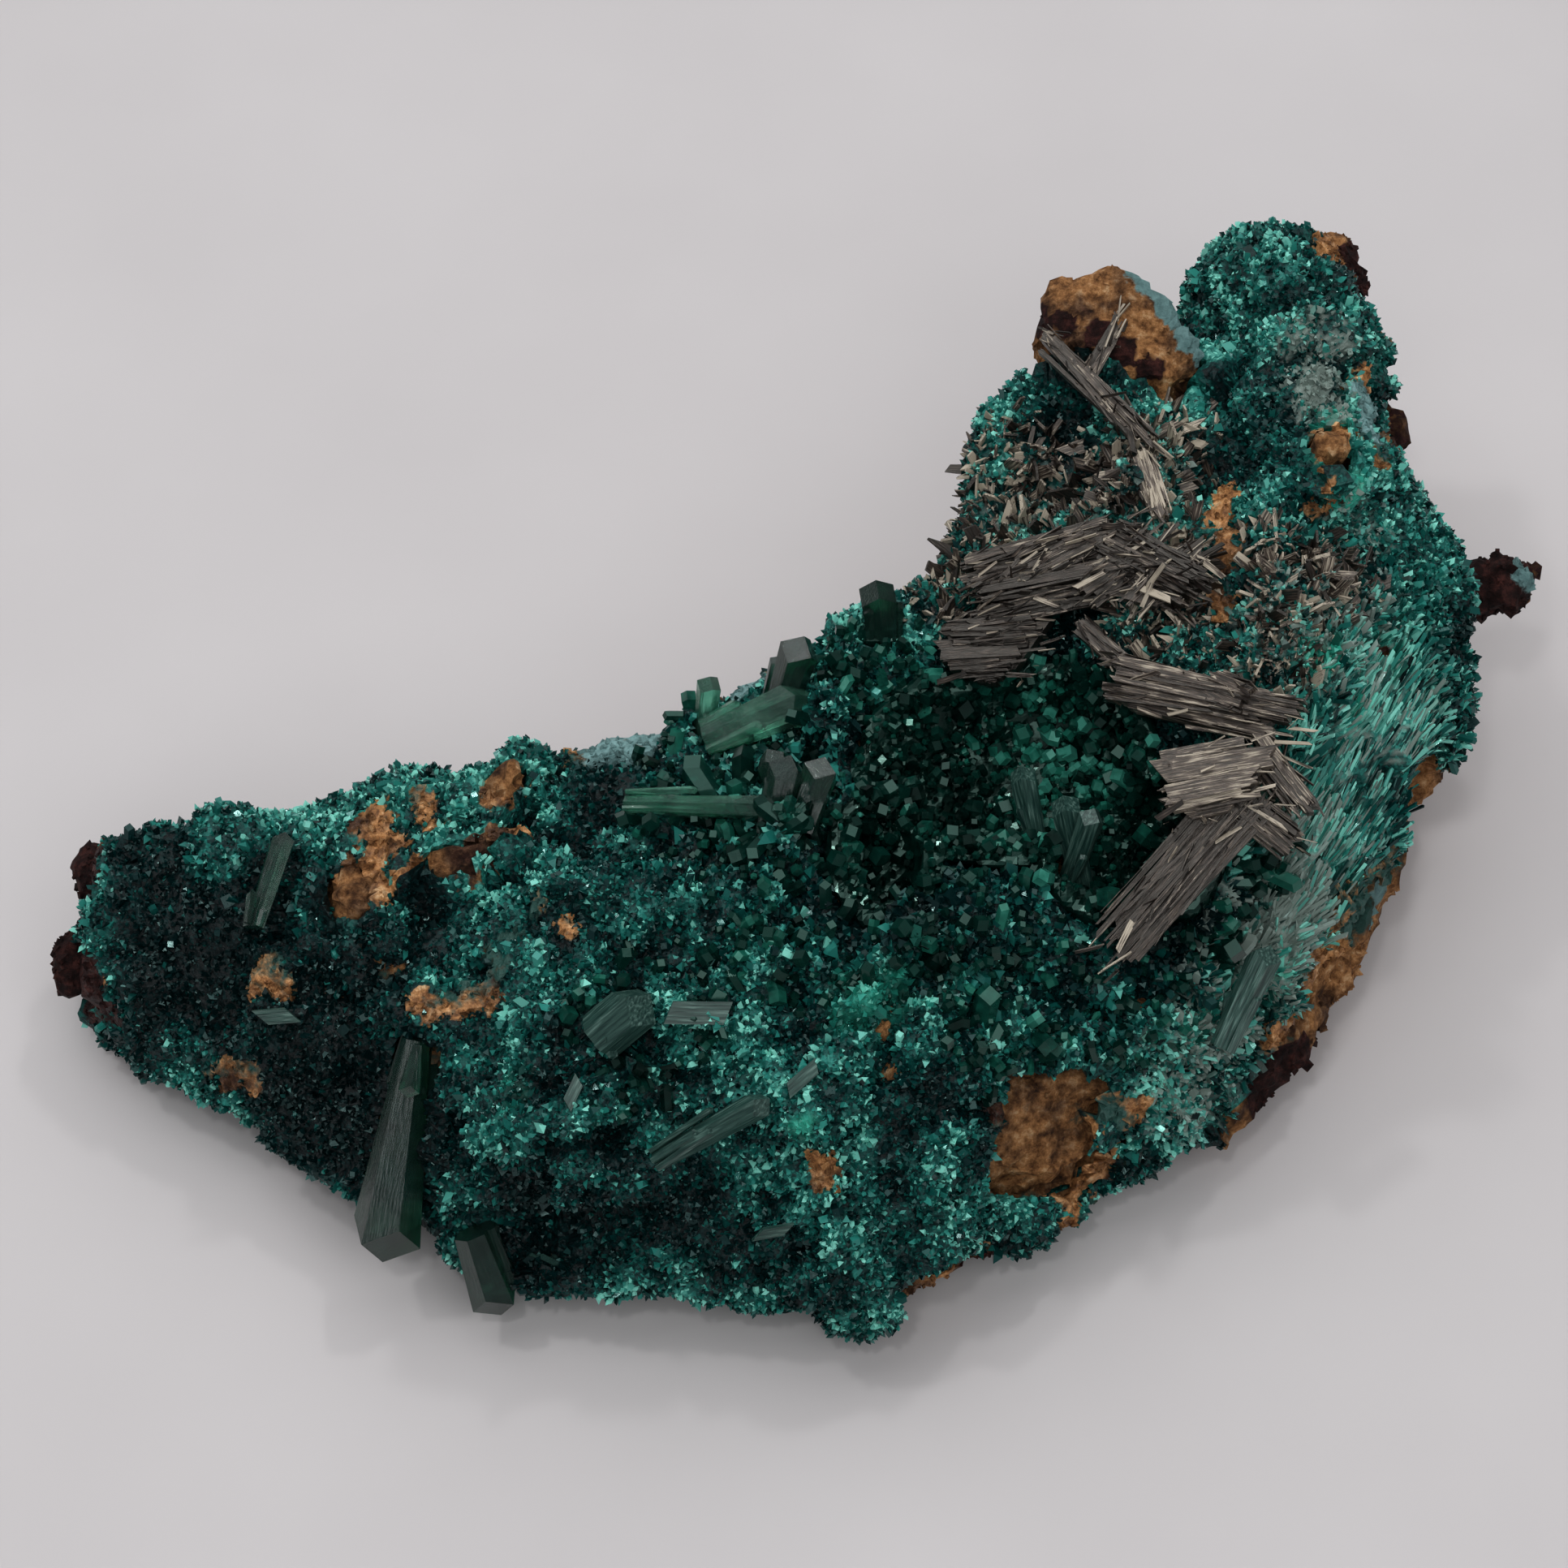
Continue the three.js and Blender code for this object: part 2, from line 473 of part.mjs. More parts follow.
// Crystals that grow inwards from the walls of the vug
function vugPrisms() {
  const made = [];
  for (let k = 0; k < VUG_CRYSTALS.count; k++) {
    const random = (n) => hash(k, n, VUG_CRYSTALS.seed);
    const { at, half } = VUG[k % 3 === 2 ? 1 + (k % 2) : 0];
    const out = new THREE.Vector3(random(1) - 0.5, random(2) - 0.5, -0.55 * random(3)).normalize();
    const wall = vector(at).add(out.clone().multiply(vector(half)));
    const size = 0.55 + 0.45 * random(4);
    const axis = out.negate().add(new THREE.Vector3(random(5) - 0.5, random(6) - 0.5, random(7) * 0.8));
    const to = wall.clone().addScaledVector(axis.normalize(), VUG_CRYSTALS.length * size).toArray();
    made.push(prism({ from: wall.toArray(), to, radius: VUG_CRYSTALS.radius * size, spin: random(8) }));
  }
  return made;
}

const lumps = Array.from({ length: LUMPS.count }, (_, k) => lump(k));

const skin = solid(loft(({ covered }) => (covered ? 0 : UNDERSIDE_INSET)));
const rockAndGap = solid(loft(({ covered }) => (covered ? CRUST - GAP : -GAP)));
const rock = solid(loft(({ covered }) => (covered ? CRUST : 0))).intersect(rockAndGap);
const smallCrystals = [
  ...FUSED_PRISMS.map((part) => prism(part)),
  ...SMALL_CRYSTALS.flatMap(smallPrisms),
  ...SMALL_SHARDS.flatMap(smallShards),
];
const outer = join([skin, ...lumps]).subtract(chips).add(join(smallCrystals)).intersect(above(CRUST_FLOOR));

// The large crystals: each is cut where an earlier one stands, with a gap between them
const large = [];
for (const [pieces, shape] of [[CERUSSITE, blade], [DIOPTASE, prism]]) {
  for (const [name, parts] of Object.entries(pieces)) {
    const whole = (grow) => join(parts.map((part) => shape(part, grow)));
    const body = large.reduce((left, earlier) => left.subtract(earlier.pocket), whole(0));
    large.push({ name, body: clean(body), pocket: whole(GAP), shape });
  }
}
const pockets = join(large.map(({ pocket }) => pocket));

const broken = rock.subtract(chips).add(knobs(0));
const rockBody = broken.subtract(hollow(0)).subtract(pockets).intersect(above(0));
const underCrust = join([rockAndGap, knobs(GAP), hollow(0), pockets]);
const crust = outer.subtract(underCrust);
const lining = hollow(GAP).subtract(hollow(GAP + VUG_WALL));
const vugCrust = join([lining, join(vugPrisms()).intersect(hollow(GAP))]).intersect(skin).subtract(pockets);

const specimen = new THREE.Group();
const look = (color, roughness) => new THREE.MeshStandardMaterial({ color, roughness, flatShading: true });
function add(name, made, material) {
  const mesh = new THREE.Mesh(geometryOf(made), material);
  mesh.name = name;
  specimen.add(mesh);
}

const cerussite = look(0x7c766a, 0.35);
const dioptase = look(0x1c6b50, 0.15);
add("matrix", clean(rockBody), look(0x8a5a34, 0.9));
add("dioptase_crust", clean(crust), look(0x0d5f52, 0.35));
add("vug_crystals", clean(vugCrust), look(0x0a4a3c, 0.25));
for (const { name, body, shape } of large) add(name, body, shape === blade ? cerussite : dioptase);

// The origin is under the middle of the specimen, on the face that it rests on
const box = new THREE.Box3().setFromObject(specimen);
const middle = box.getCenter(new THREE.Vector3());
specimen.position.set(-middle.x, -middle.y, -box.min.z);

export default specimen;
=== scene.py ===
import math

import bpy
import numpy as np
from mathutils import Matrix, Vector
from mathutils.bvhtree import BVHTree


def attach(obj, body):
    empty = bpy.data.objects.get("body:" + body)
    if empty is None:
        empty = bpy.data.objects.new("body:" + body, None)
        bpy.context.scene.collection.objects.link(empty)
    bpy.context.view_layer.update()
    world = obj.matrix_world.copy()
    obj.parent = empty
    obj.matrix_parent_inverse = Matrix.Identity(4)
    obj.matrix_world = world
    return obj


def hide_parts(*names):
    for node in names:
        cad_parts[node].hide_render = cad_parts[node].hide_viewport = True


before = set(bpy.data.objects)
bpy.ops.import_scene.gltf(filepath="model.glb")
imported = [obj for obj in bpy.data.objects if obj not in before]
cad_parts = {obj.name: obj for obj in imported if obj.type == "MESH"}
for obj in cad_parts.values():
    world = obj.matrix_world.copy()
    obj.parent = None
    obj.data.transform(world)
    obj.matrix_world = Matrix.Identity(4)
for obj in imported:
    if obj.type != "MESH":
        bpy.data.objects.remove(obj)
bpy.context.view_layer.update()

# Every length below is in millimetres. The places are given from the drawing's own zero point.
MM = 0.001
ZERO = np.array([-1.213, 0.185, 0.0])
random = np.random.default_rng(4)

# Fineness of the rebuilt skins
CRUST_GRID = 0.42
ROCK_GRID = 0.6
VUG_GRID = 0.35
# How far the druse's ground lies under the crust's outer skin, and how much deeper the gaps between lumps go
SKIN = 0.35
GAPS = 2.6
# Below this shade the druse darkens ever more slowly
DARKEST = 0.25
# Broken faces of the rock: size of the cells, height, size of the noise that sets it and its seed
BROKEN_FACES = [(5.5, 0.75, 2.9, 21), (2.6, 0.42, 1.4, 22), (1.3, 0.22, 0.7, 23)]

# Patches where the crust is missing or rubbed off and the rock shows: centre and reach
BARE = [
    (-25, -11.5, 16.5, [2.6, 2.2, 3]), (-24, -9, 17, [1.6, 1.8, 3]), (-24.5, -7, 17, [1.3, 1.5, 2]),
    (-21, -11.5, 17, [2.1, 1, 2.5]), (-19.5, -11, 17.5, [2, 1.1, 2.5]),
    (-17.5, -10, 17.5, [1.7, 1.7, 2.5]), (-16, -9, 17, [1.1, 1.5, 2.5]),
    (-21.5, -6.5, 17, [0.9, 1.6, 2.5]), (-20, -7.5, 17.5, [0.8, 1, 2]),
    (-16.5, -5.5, 18, [1.7, 1.9, 2.6]), (-30.5, -15.5, 12.5, [1.3, 1.8, 3]),
    (-20.5, -19.5, 15.5, [2.3, 0.9, 2]), (-17.5, -19, 16, [1.3, 1.3, 2]),
    (-17, -17.5, 16.5, [0.8, 1.4, 2]), (-16, -15.5, 17.5, [1, 1, 2]), (-14.5, -13.6, 18.5, [0.5, 1.1, 2]),
    (-12.5, -15, 18, [0.5, 0.6, 1]), (-1.5, -4, 19, [0.7, 0.7, 2]), (2, -30, 14.5, [1.4, 1.3, 2]),
    (26.6, 11, 24.5, [1, 1.6, 2.5]), (26.3, 7.5, 25, [1.1, 3, 2.5]), (25.8, 3.4, 26, [1, 2.2, 3]),
    (33, 13.5, 27, [1.4, 1.5, 2]), (32, 9.5, 26, [0.6, 0.6, 2]), (36, 1.5, 21, [0.8, 1.2, 2]),
    (-33, -19.5, 7.5, [2.4, 1.2, 2]), (12.6, -24.4, 12.2, [1.9, 2, 2.2]), (15, -23.4, 12, [2, 2, 2.2]),
    (12.6, -26, 9.6, [1.3, 1.6, 1.4]), (17, -23.6, 10.4, [1.4, 1.6, 2]),
    (11.4, -27.6, 8.4, [1.4, 1.4, 0.9]), (19.4, -24, 10.4, [2.2, 1.6, 1.1]),
    (21.4, -23.4, 10.6, [1.6, 1.2, 0.8]), (18, -24.6, 6.4, [2, 2, 2.4]), (16.8, -26.4, 4.6, [2, 2, 2]),
    (36.6, -7, 11, [1.3, 1.8, 3]), (33, -10.6, 9.8, [1.7, 2.2, 2.6]), (31.2, -13.4, 9.2, [1.6, 2, 2.4]),
    (29.6, -16.4, 8, [1.4, 1.8, 2.2]), (35, -9, 8.5, [2.2, 2.6, 3.2]),
    (33.4, -11.8, 7.6, [2.2, 2.6, 3.4]), (31.8, -14.2, 7, [2.2, 2.2, 3.2]), (30, -17, 5.6, [2.2, 2.2, 3]),
    (31.6, -16, 4.4, [2.6, 2.4, 2.2]), (-42.6, -7.4, 9.4, [2.4, 3, 3]), (-42.6, -12.4, 6, [2.6, 3, 3.6]),
    (41.6, 12.3, 14.6, [2.6, 3, 3]), (36, 31.4, 23.4, [2.2, 3.4, 4]), (34.2, 32, 25, [1.7, 2, 2.4]),
    (37.8, 27.8, 21.5, [1.8, 2.6, 3.4]), (39, 19.4, 20, [1.8, 4, 3]), (36, 18.5, 24, [1.4, 4.5, 2.2]),
    (8.6, -31.4, 2.6, [3.4, 1.8, 2.6]), (11.4, -30, 3, [3, 2, 2.4]), (-9, -1.4, 15.8, [4.6, 1.6, 1.8]),
    (-2.4, 2.4, 17, [2, 0.9, 1.4]),
]
# Light and dark stretches of the druse, partly its own tone and partly painted shade in hollows: centre,
# reach, change
SHADE = [
    (-34.5, -12.5, 12.5, 9, -0.33), (-38, -15, 10, 6, -0.12), (-32, -4, 14.5, 4.4, 0.26),
    (-24, -3.5, 16, 6, 0.2), (-26, -22, 9.5, 7, -0.42), (-13, -27.5, 16, 6, -0.02),
    (-13, -31, 8, 4, -0.3), (5.5, -22, 19.5, 6, 0.08), (-7, -18, 18.5, 6, 0.06), (0, -26, 16, 6, 0.12),
    (-8, -11, 18.5, 6, -0.08), (10, -6, 19, 8, -0.22), (20, -11, 18, 8, -0.16), (-10, -2.5, 16, 4, -0.15),
    (30.5, -12, 16, 9, 0.4), (25.5, -22, 9.5, 7, 0.34), (35.5, -2.5, 19.5, 7, 0.24),
    (29, 27, 25, 7, 0.12), (29, 18, 25, 5, -0.06), (14, -29, 5, 5, -0.1), (16, -5, 19, 6, -0.1),
    (-36, -17, 8, 3, 0.16), (-10, -5.5, 17, 3, -0.32), (5.5, -18, 21, 3.5, -0.06),
    (13.5, -16, 18.5, 3, -0.14), (21.5, -17, 19.5, 3, -0.36), (-30.5, -20, 9.5, 3.5, -0.12),
    (-26, -21.5, 9.5, 3.5, -0.16), (-38.5, -15, 9.5, 3, -0.26), (-34.5, -12.5, 13, 3, -0.08),
    (-6, -30, 11, 3, -0.39), (-2, -30.5, 9, 3.5, -0.24), (-10, -29, 14, 3, -0.16),
    (-13.5, -28, 15.5, 3, -0.08), (-18, -31.5, 6, 3, -0.1), (39, 0, 16.5, 3, -0.1),
    (-18, -10.5, 17.5, 3, 0.46), (-14.5, -5.5, 17.5, 3, 0.4), (-14, -11.5, 18.5, 3, 0.1),
    (-10, -24.5, 17, 3, 0.48), (5.5, -28, 15.5, 3, 0.1), (6, -33, 9, 3, 0.3), (34.5, 9, 24.5, 3, 0.36),
    (35.5, 20.5, 24, 3, 0.14), (27, 20.5, 24, 3, 0.14), (23, 20, 24.5, 2.6, 0.12), (26.5, 9, 25, 3, 0.12),
    (34.5, -8.5, 14, 3, 0.12), (13.5, -20, 17, 3, 0.14), (-28, -22, 9, 4, -0.38), (-26, -25, 9, 4, -0.28),
    (-14.5, -30.5, 7.5, 4.5, -0.3), (6, 3, 19, 3, 0.25), (-18.5, -18.5, 16, 3, 0.16),
    (6, -28, 15, 4, 0.16), (-2, -10, 19, 3, 0.14), (32, -9, 17, 8, 0.08), (35.5, 14, 24, 4, 0.14),
    (22, -16.5, 19, 3, -0.4), (-15, -6, 17.5, 3, 0.1), (14, -19, 17.5, 3, 0.14), (11, -30, 5, 4, 0.15),
    (14, -28, 7.5, 3, 0.2), (-2, -32, 7, 3, -0.2), (5.5, -18, 21, 3, -0.14), (11.5, -20.5, 18, 3, 0.2),
    (30.5, 8.5, 26, 3, 0.16),
]
# Where the vug's crystals are painted lighter, painted light deep in the vug: centre, reach, change
VUG_PAINTED_LIGHT = [
    (15.5, -0.5, 16.5, 3.5, 0.5), (15.5, -3.5, 14.5, 4, 0.6), (16, -8, 16, 3, 0.55),
    (18.5, -4, 15.5, 4, 0.25), (18, -10, 17, 4, 0.2), (22, -4.5, 23, 3, 0.2),
]
# Minty stretches, and ones dull with frost: centre, reach, strength
MINT = [
    (-10.5, -27, 16, 1.2, 0.8), (-16, -25, 16, 1.4, 0.6), (1, -28.5, 16, 1.5, 0.95),
    (32, -1.5, 24.5, 2, 0.9), (34, -4, 22, 2.6, 0.6), (34, 11, 25.5, 1.8, 0.9), (33, 12.5, 26, 1.4, 0.5),
    (-3, -1, 19.5, 2, 0.7), (5.5, -21, 19.5, 3, 0.5), (8.5, -19, 20, 2.4, 0.4), (33.5, 16, 26, 1.6, 0.5),
    (35.5, 2, 22, 2.6, 0.5), (28, -17, 13, 4.5, 0.35), (31, -9, 17, 5, 0.3),
]
FROST = [
    (33.4, 21.5, 26.4, 3.2, 1.8), (33, 18, 26.8, 2.8, 1.6), (34.5, 9, 24.5, 3.4, 0.7),
    (34, 4, 24.5, 4, 0.6), (30, -12, 15, 8, 1.2), (36, -2, 19, 7, 0.56), (25, -21.5, 10, 6, 0.9),
    (22.5, 13, 24, 5, 0.6), (15, 12, 21.5, 5, 0.5), (30, 1, 25.5, 5, 0.6),
]
# Deep gaps and hollows, also painted darker as painted shade: centre, reach, depth
DEEP = [
    (-17.5, -30.5, 7, 2.2, 1.4), (-13.5, -30.5, 7.5, 2.6, 2.2), (-11, -30.5, 8.5, 2.2, 1.6),
    (3.5, -9.5, 19, 1.7, 1.8), (3.5, -12, 19, 1.6, 2), (3.5, -14.5, 19, 1.6, 2),
    (3.5, -17.5, 19, 1.5, 1.1), (0.5, -20.5, 19, 1.7, 1.8), (11.5, -21, 18, 1.9, 1.6),
    (14.5, -18.5, 17, 2.4, 1.6), (-6.5, -29.5, 14.5, 1.6, 1.5), (-23, -16.5, 16, 1.9, 1.4),
    (-9.5, -28.5, 14.5, 1.4, 1.2), (7.5, -17, 20.5, 1.8, 1.5), (26.5, 14.5, 24, 2.2, 1.5),
    (29.5, 17.5, 25.5, 2, 1.2), (26.5, 26, 23, 1.8, 1.2), (25, -16, 17, 2.6, 1.6),
    (27.5, -13.5, 16, 2, 1.4), (-4, -12, 18.5, 2, 0.7), (21.5, -16.5, 19, 2.2, 1.5),
    (24, -14.5, 18.5, 2, 1.4), (-11, -22, 17, 1.6, 1.2), (-28, -16.5, 13, 1.6, 1.8),
]
# Where the druse stands out a little further than its solid, and where it lies lower: centre, reach, height
SWELL = [
    (-40.5, -5, 12, 4, 1.3), (-41, -9.5, 9.5, 3, 0.7), (29, 30, 25, 6, 1.3), (37.6, 25, 21, 6, 1.2),
    (6, -32, 4, 4, 1.2), (-1, -32.5, 5, 4.5, 1.2), (-2, 0, 18, 4, 0.4), (-20, -3, 16, 6, 0.6),
    (40, 2, 14, 7, 1.1), (-11, -1, 15.5, 4, 0.7), (39, 8, 19, 4, 0.7), (13.5, 18, 22, 5, 0.9),
    (26.6, 10, 24.8, 1.8, 0.5), (26.2, 6.5, 25.2, 1.8, 0.6), (25.8, 3.8, 25.8, 1.6, 0.5),
    (-35.5, -17, 5, 4, -0.4), (34, -11, 7, 4, 1), (30.5, -16, 6, 4, 1), (15.5, -28, 4.5, 4, 0.6),
]
# The same for the rock
ROCK_SWELL = [
    (-43.5, -11.5, 6.5, 3, 1.2), (-43, -6.5, 10, 3, 0.6), (45, 12, 14.5, 3.4, 1),
    (42.3, 12, 13.4, 2.6, 0.9), (35.4, 31.6, 23, 3.4, 1.1), (19.5, 27, 26, 4, 0.6),
    (16.2, 24.4, 24.6, 3.4, 1.4), (23, 27.5, 27, 2.4, 0.6), (33, 13.5, 26.8, 1.6, 0.5),
    (6, -32, 4, 4, 0.8), (36, -11, 4, 6, 0.3), (32, -17, 3, 5, 0.4), (15, -29, 3, 4.5, 0.6),
    (-25.2, -11.5, 16.5, 2.4, -0.5), (-19, -10.5, 17.6, 2.4, -0.4),
]
# Where the rock comes up through the druse
THROUGH = [
    (-42.8, -6, 7.5, 3, 1.5), (-43, -10.4, 5, 3, 1.5), (43.5, 12.3, 13.5, 3.6, 1.5),
    (35, 31.4, 21, 2.6, 1.5), (38, 22, 17.5, 2.6, 1.5), (-25.2, -11.5, 15.5, 2.6, 1.5),
    (-19, -10.5, 17, 2.8, 1.5), (-16.3, -5, 17.4, 1.8, 1.5), (33, 13.5, 26.2, 2, 1.5),
]
# How the rock's spur and knobs are moved: centre, reach, way
PULL = [
    (44.5, 12.2, 14, 4.5, [-1, 0, -0.2]), (-42.8, -6, 8, 3.4, [0.3, 0.6, 0.9]),
    (-43.4, -11, 5.6, 3.4, [0.3, 0.6, 0.9]), (35.4, 31.4, 22.5, 3.4, [-0.5, 0.5, 0.7]),
    (38.4, 20.5, 18, 3, [1.2, -0.3, 0.6]),
]
# Where the rock is craggy, where its faces are flat, and where it is seen bare
CRAGGY = [(45, 12, 14.5, 4, 0.15), (37, 30, 21, 4, 0.6)]
FLAT = [(21.5, 23.5, 25.5, 5, 0.8), (14.2, -24, 11, 4, 1), (-43, -9, 8, 5, 0.4)]
SEEN_ROCK = [(-43, -9, 8, 5, 1), (36, 30, 22, 5, 1), (44, 12, 14, 4, 1), (33, -14, 5, 6, 1)]
# Where the druse is even, with shallow gaps
CALM = [
    (-35, -12, 12, 9, 1), (-26, -22, 10, 7, 0.8), (-14, -27, 15, 5, 0.7), (28, 25, 25, 6, 0.6),
    (31, -11, 15, 9, 1), (36, 0, 20, 7, 0.8),
]
# Where the crystals are coarse, and where they lie down along one direction
COARSE = [(12, -9, 18, 13, 1.0), (5, -13, 19, 9, 0.8), (-2, -5, 19, 5, 0.7), (22, -15, 17, 7, 0.8)]
STREAKED = [(32, -9, 16, 9, 1.0), (35.5, -1, 19, 7, 0.8), (27, -19, 12, 5, 0.3)]
STREAK_WAY = [0.45, 0.72, 0.53]
# The druse's crystals: kind, how many, depth of the foot, radius, growth of the length, least length
DRUSE_PIECES = [
    ("prism", 3600, 0.15, 0.14, 0.3, 0.2), ("chip", 22000, 0.1, 0.135, 0.2, 0.15),
    ("chip", 22000, 0.1, 0.135, 0.2, 0.15), ("point", 40000, 0.08, 0.14, 0.15, 0.1),
]
# The vug's crystals: how many, radius, length. They lean towards its middle.
VUG_SIZES = [(200, 0.42, 1.2), (900, 0.25, 0.8), (1000, 0.17, 0.55)]
VUG_MIDDLE = [13.5, -7, 24]
# Coarse blocky crystals over the middle of the crust: centre, reach and how many
COARSE_SPOTS = [
    (3, -13, 19, 10, 260), (16, -18, 17, 9, 220), (24, -12, 19, 7, 90), (-4, -6, 19, 7, 150),
    (6, 1, 20, 5, 90), (-8, -22, 17, 6, 60), (1, -8, 21, 3, 60),
]
# Frosted plates on the druse: about where, direction, facing, length, width, slant of the ends
PLATES = [
    ([-5.5, -22.2, 19.7], [1, 0.05, -0.1], [0, -0.7, 1], 3.4, 1.3, 0.2),
    ([-0.5, -32.2, 10.8], [1, 0.2, 0], [0, -1, 0.4], 1.8, 0.7, 0.5),
    ([-30.4, -19, 13.6], [1, 0.1, 0], [-0.1, -0.8, 0.8], 1.9, 0.9, -0.5),
    ([-11.6, -25.8, 17.3], [0.4, 1, 0.1], [0, -0.4, 1], 1.7, 0.7, 0.4),
    ([1.6, -26, 18], [1, 0.9, 0.2], [0, -0.5, 1], 2.2, 0.8, 0.3),
]
# Bare rock without stains, which the shards leave open: centre and reach
CLEAN = [
    (26.6, 10.5, 24.8, [1.9, 3, 4]), (26.2, 6, 25.2, [1.9, 3.4, 4]), (25.8, 3.4, 26, [1.6, 2.4, 4]),
    (18, -24.6, 6.4, [2.6, 2.6, 3]), (16.8, -26.4, 4.6, [2.4, 2.4, 2.4]), (33, -12.5, 7, [3, 3.4, 4]),
]
# Where the bare rock is dark red, and where pale blue: centre, reach, strength
DARK_RED = [
    (-43, -9, 6, 8, 1.5), (43.6, 12, 13, 4.6, 1.1), (36.8, 29.8, 22, 3.6, 1.1),
    (37.6, 22, 17.5, 3.6, 0.6), (30, -18, 5, 3, 1.3), (31, -17, 2.5, 4, 1), (12.5, -30, 2, 4, 0.6),
    (16.2, 24.9, 24.6, 1.5, 1.2), (17.6, 24.2, 25.2, 1.4, 1.3), (19.2, 22.9, 25.6, 1.3, 1.3),
    (20.8, 21.7, 25.3, 1.2, 1.2), (22.4, 20.6, 24.8, 1.1, 1.1), (36, 1.5, 21, 1.2, 0.6),
]
PALE_BLUE = [
    (22.8, 26.8, 27.2, 2.1, 1.4), (24.4, 25, 26.6, 2.2, 1.6), (25.9, 23.4, 25.9, 2.2, 1.6),
    (27.1, 21.6, 25, 1.9, 1.4), (24.6, 28, 24, 3, 1.4), (36, 18.5, 24, 2.6, 1.3),
    (37, 21.4, 21.6, 1.6, 0.9), (45.8, 12.4, 14.4, 1.3, 1.1), (36, -7.5, 8, 2, 0.9),
    (-9, -1.4, 15.8, 4, 0.75), (-2.4, 2.4, 17, 1.8, 0.8),
]

# Large dioptase crystals, each by its node: foot, tip, radius and squash of the section
DIOPTASE = {
    "overhanging_prism": [([-21.4, -20.6, 13.6], [-23.5, -30.4, 4.6], 2.1, 0.9)],
    "front_low_prism": [([-18.2, -29.5, 6.5], [-16.6, -32.6, 2.2], 1.5, 1)],
    "left_slope_prism": [([-31.2, -13.4, 14.4], [-29.6, -7.8, 16.2], 0.9, 0.5)],
    "back_upright_prism": [([-5, -1.6, 15.5], [-4.4, 0.1, 21], 0.75, 1)],
    "back_long_prism": [([-4.6, -2.6, 18.2], [1.8, -1.2, 20.8], 1.4, 1)],
    "back_steep_prism": [([-0.4, -0.6, 18], [1.2, 1.6, 23], 1.25, 1)],
    "middle_long_prism": [([-9.3, -7.2, 18.2], [-0.2, -9, 20.4], 1, 0.7)],
    "middle_prism_cluster": [
        ([-0.6, -10.4, 19], [0.4, -6.6, 22.4], 1.2, 1),
        ([1, -9.8, 19.4], [2.4, -6.6, 22.2], 1.15, 1),
        ([0.2, -8.2, 18.8], [-1, -5.6, 21.6], 0.9, 1),
    ],
    "centre_block_prism": [([-10.6, -22.6, 17], [-7.6, -21.2, 19.4], 1.5, 1)],
    "pale_lath_prism": [([-7.2, -29, 14], [-0.8, -27.2, 17.9], 1, 0.8)],
    "back_edge_prism": [([6, 3.6, 19], [5.5, 5.8, 23], 1.2, 1)],
    "right_lath_prism": [([25.4, -21.2, 13.6], [28.2, -16.6, 17.4], 1, 1)],
    "vug_prisms": [
        ([15.6, -9.4, 13], [14, -5, 19], 0.85, 1),
        ([18, -11.2, 13.4], [16.4, -7.4, 19.4], 0.95, 1),
        ([16.2, -11.6, 13], [18.2, -8.6, 19.8], 0.8, 1),
    ],
}
FROSTED_CRYSTALS = ["pale_lath_prism", "centre_block_prism", "right_lath_prism", "vug_prisms"]
# How many small prisms stand at each one's foot, its width there and their height, both as shares
BESIDE = 4
FORMS = {"overhanging_prism": (0.4, 0.3), "left_slope_prism": (0.8, 0.35), "centre_block_prism": (1, 0.3)}
# The way that the blades face, the slants of their ends, and their bundles and splinters
TOWARDS_VIEWER = [0, -0.45, 1]
END_SLANTS = [-0.21, 0.35]
BUNDLES = 5
SPLINTERS = 0.8
# How much some of them are covered by shards
OVERGROWN = {
    "cerussite_bundle": 1.6,
    "cerussite_left_block": 0.5,
    "cerussite_cluster": 0.45,
    "cerussite_bright_blade": 0.3,
}
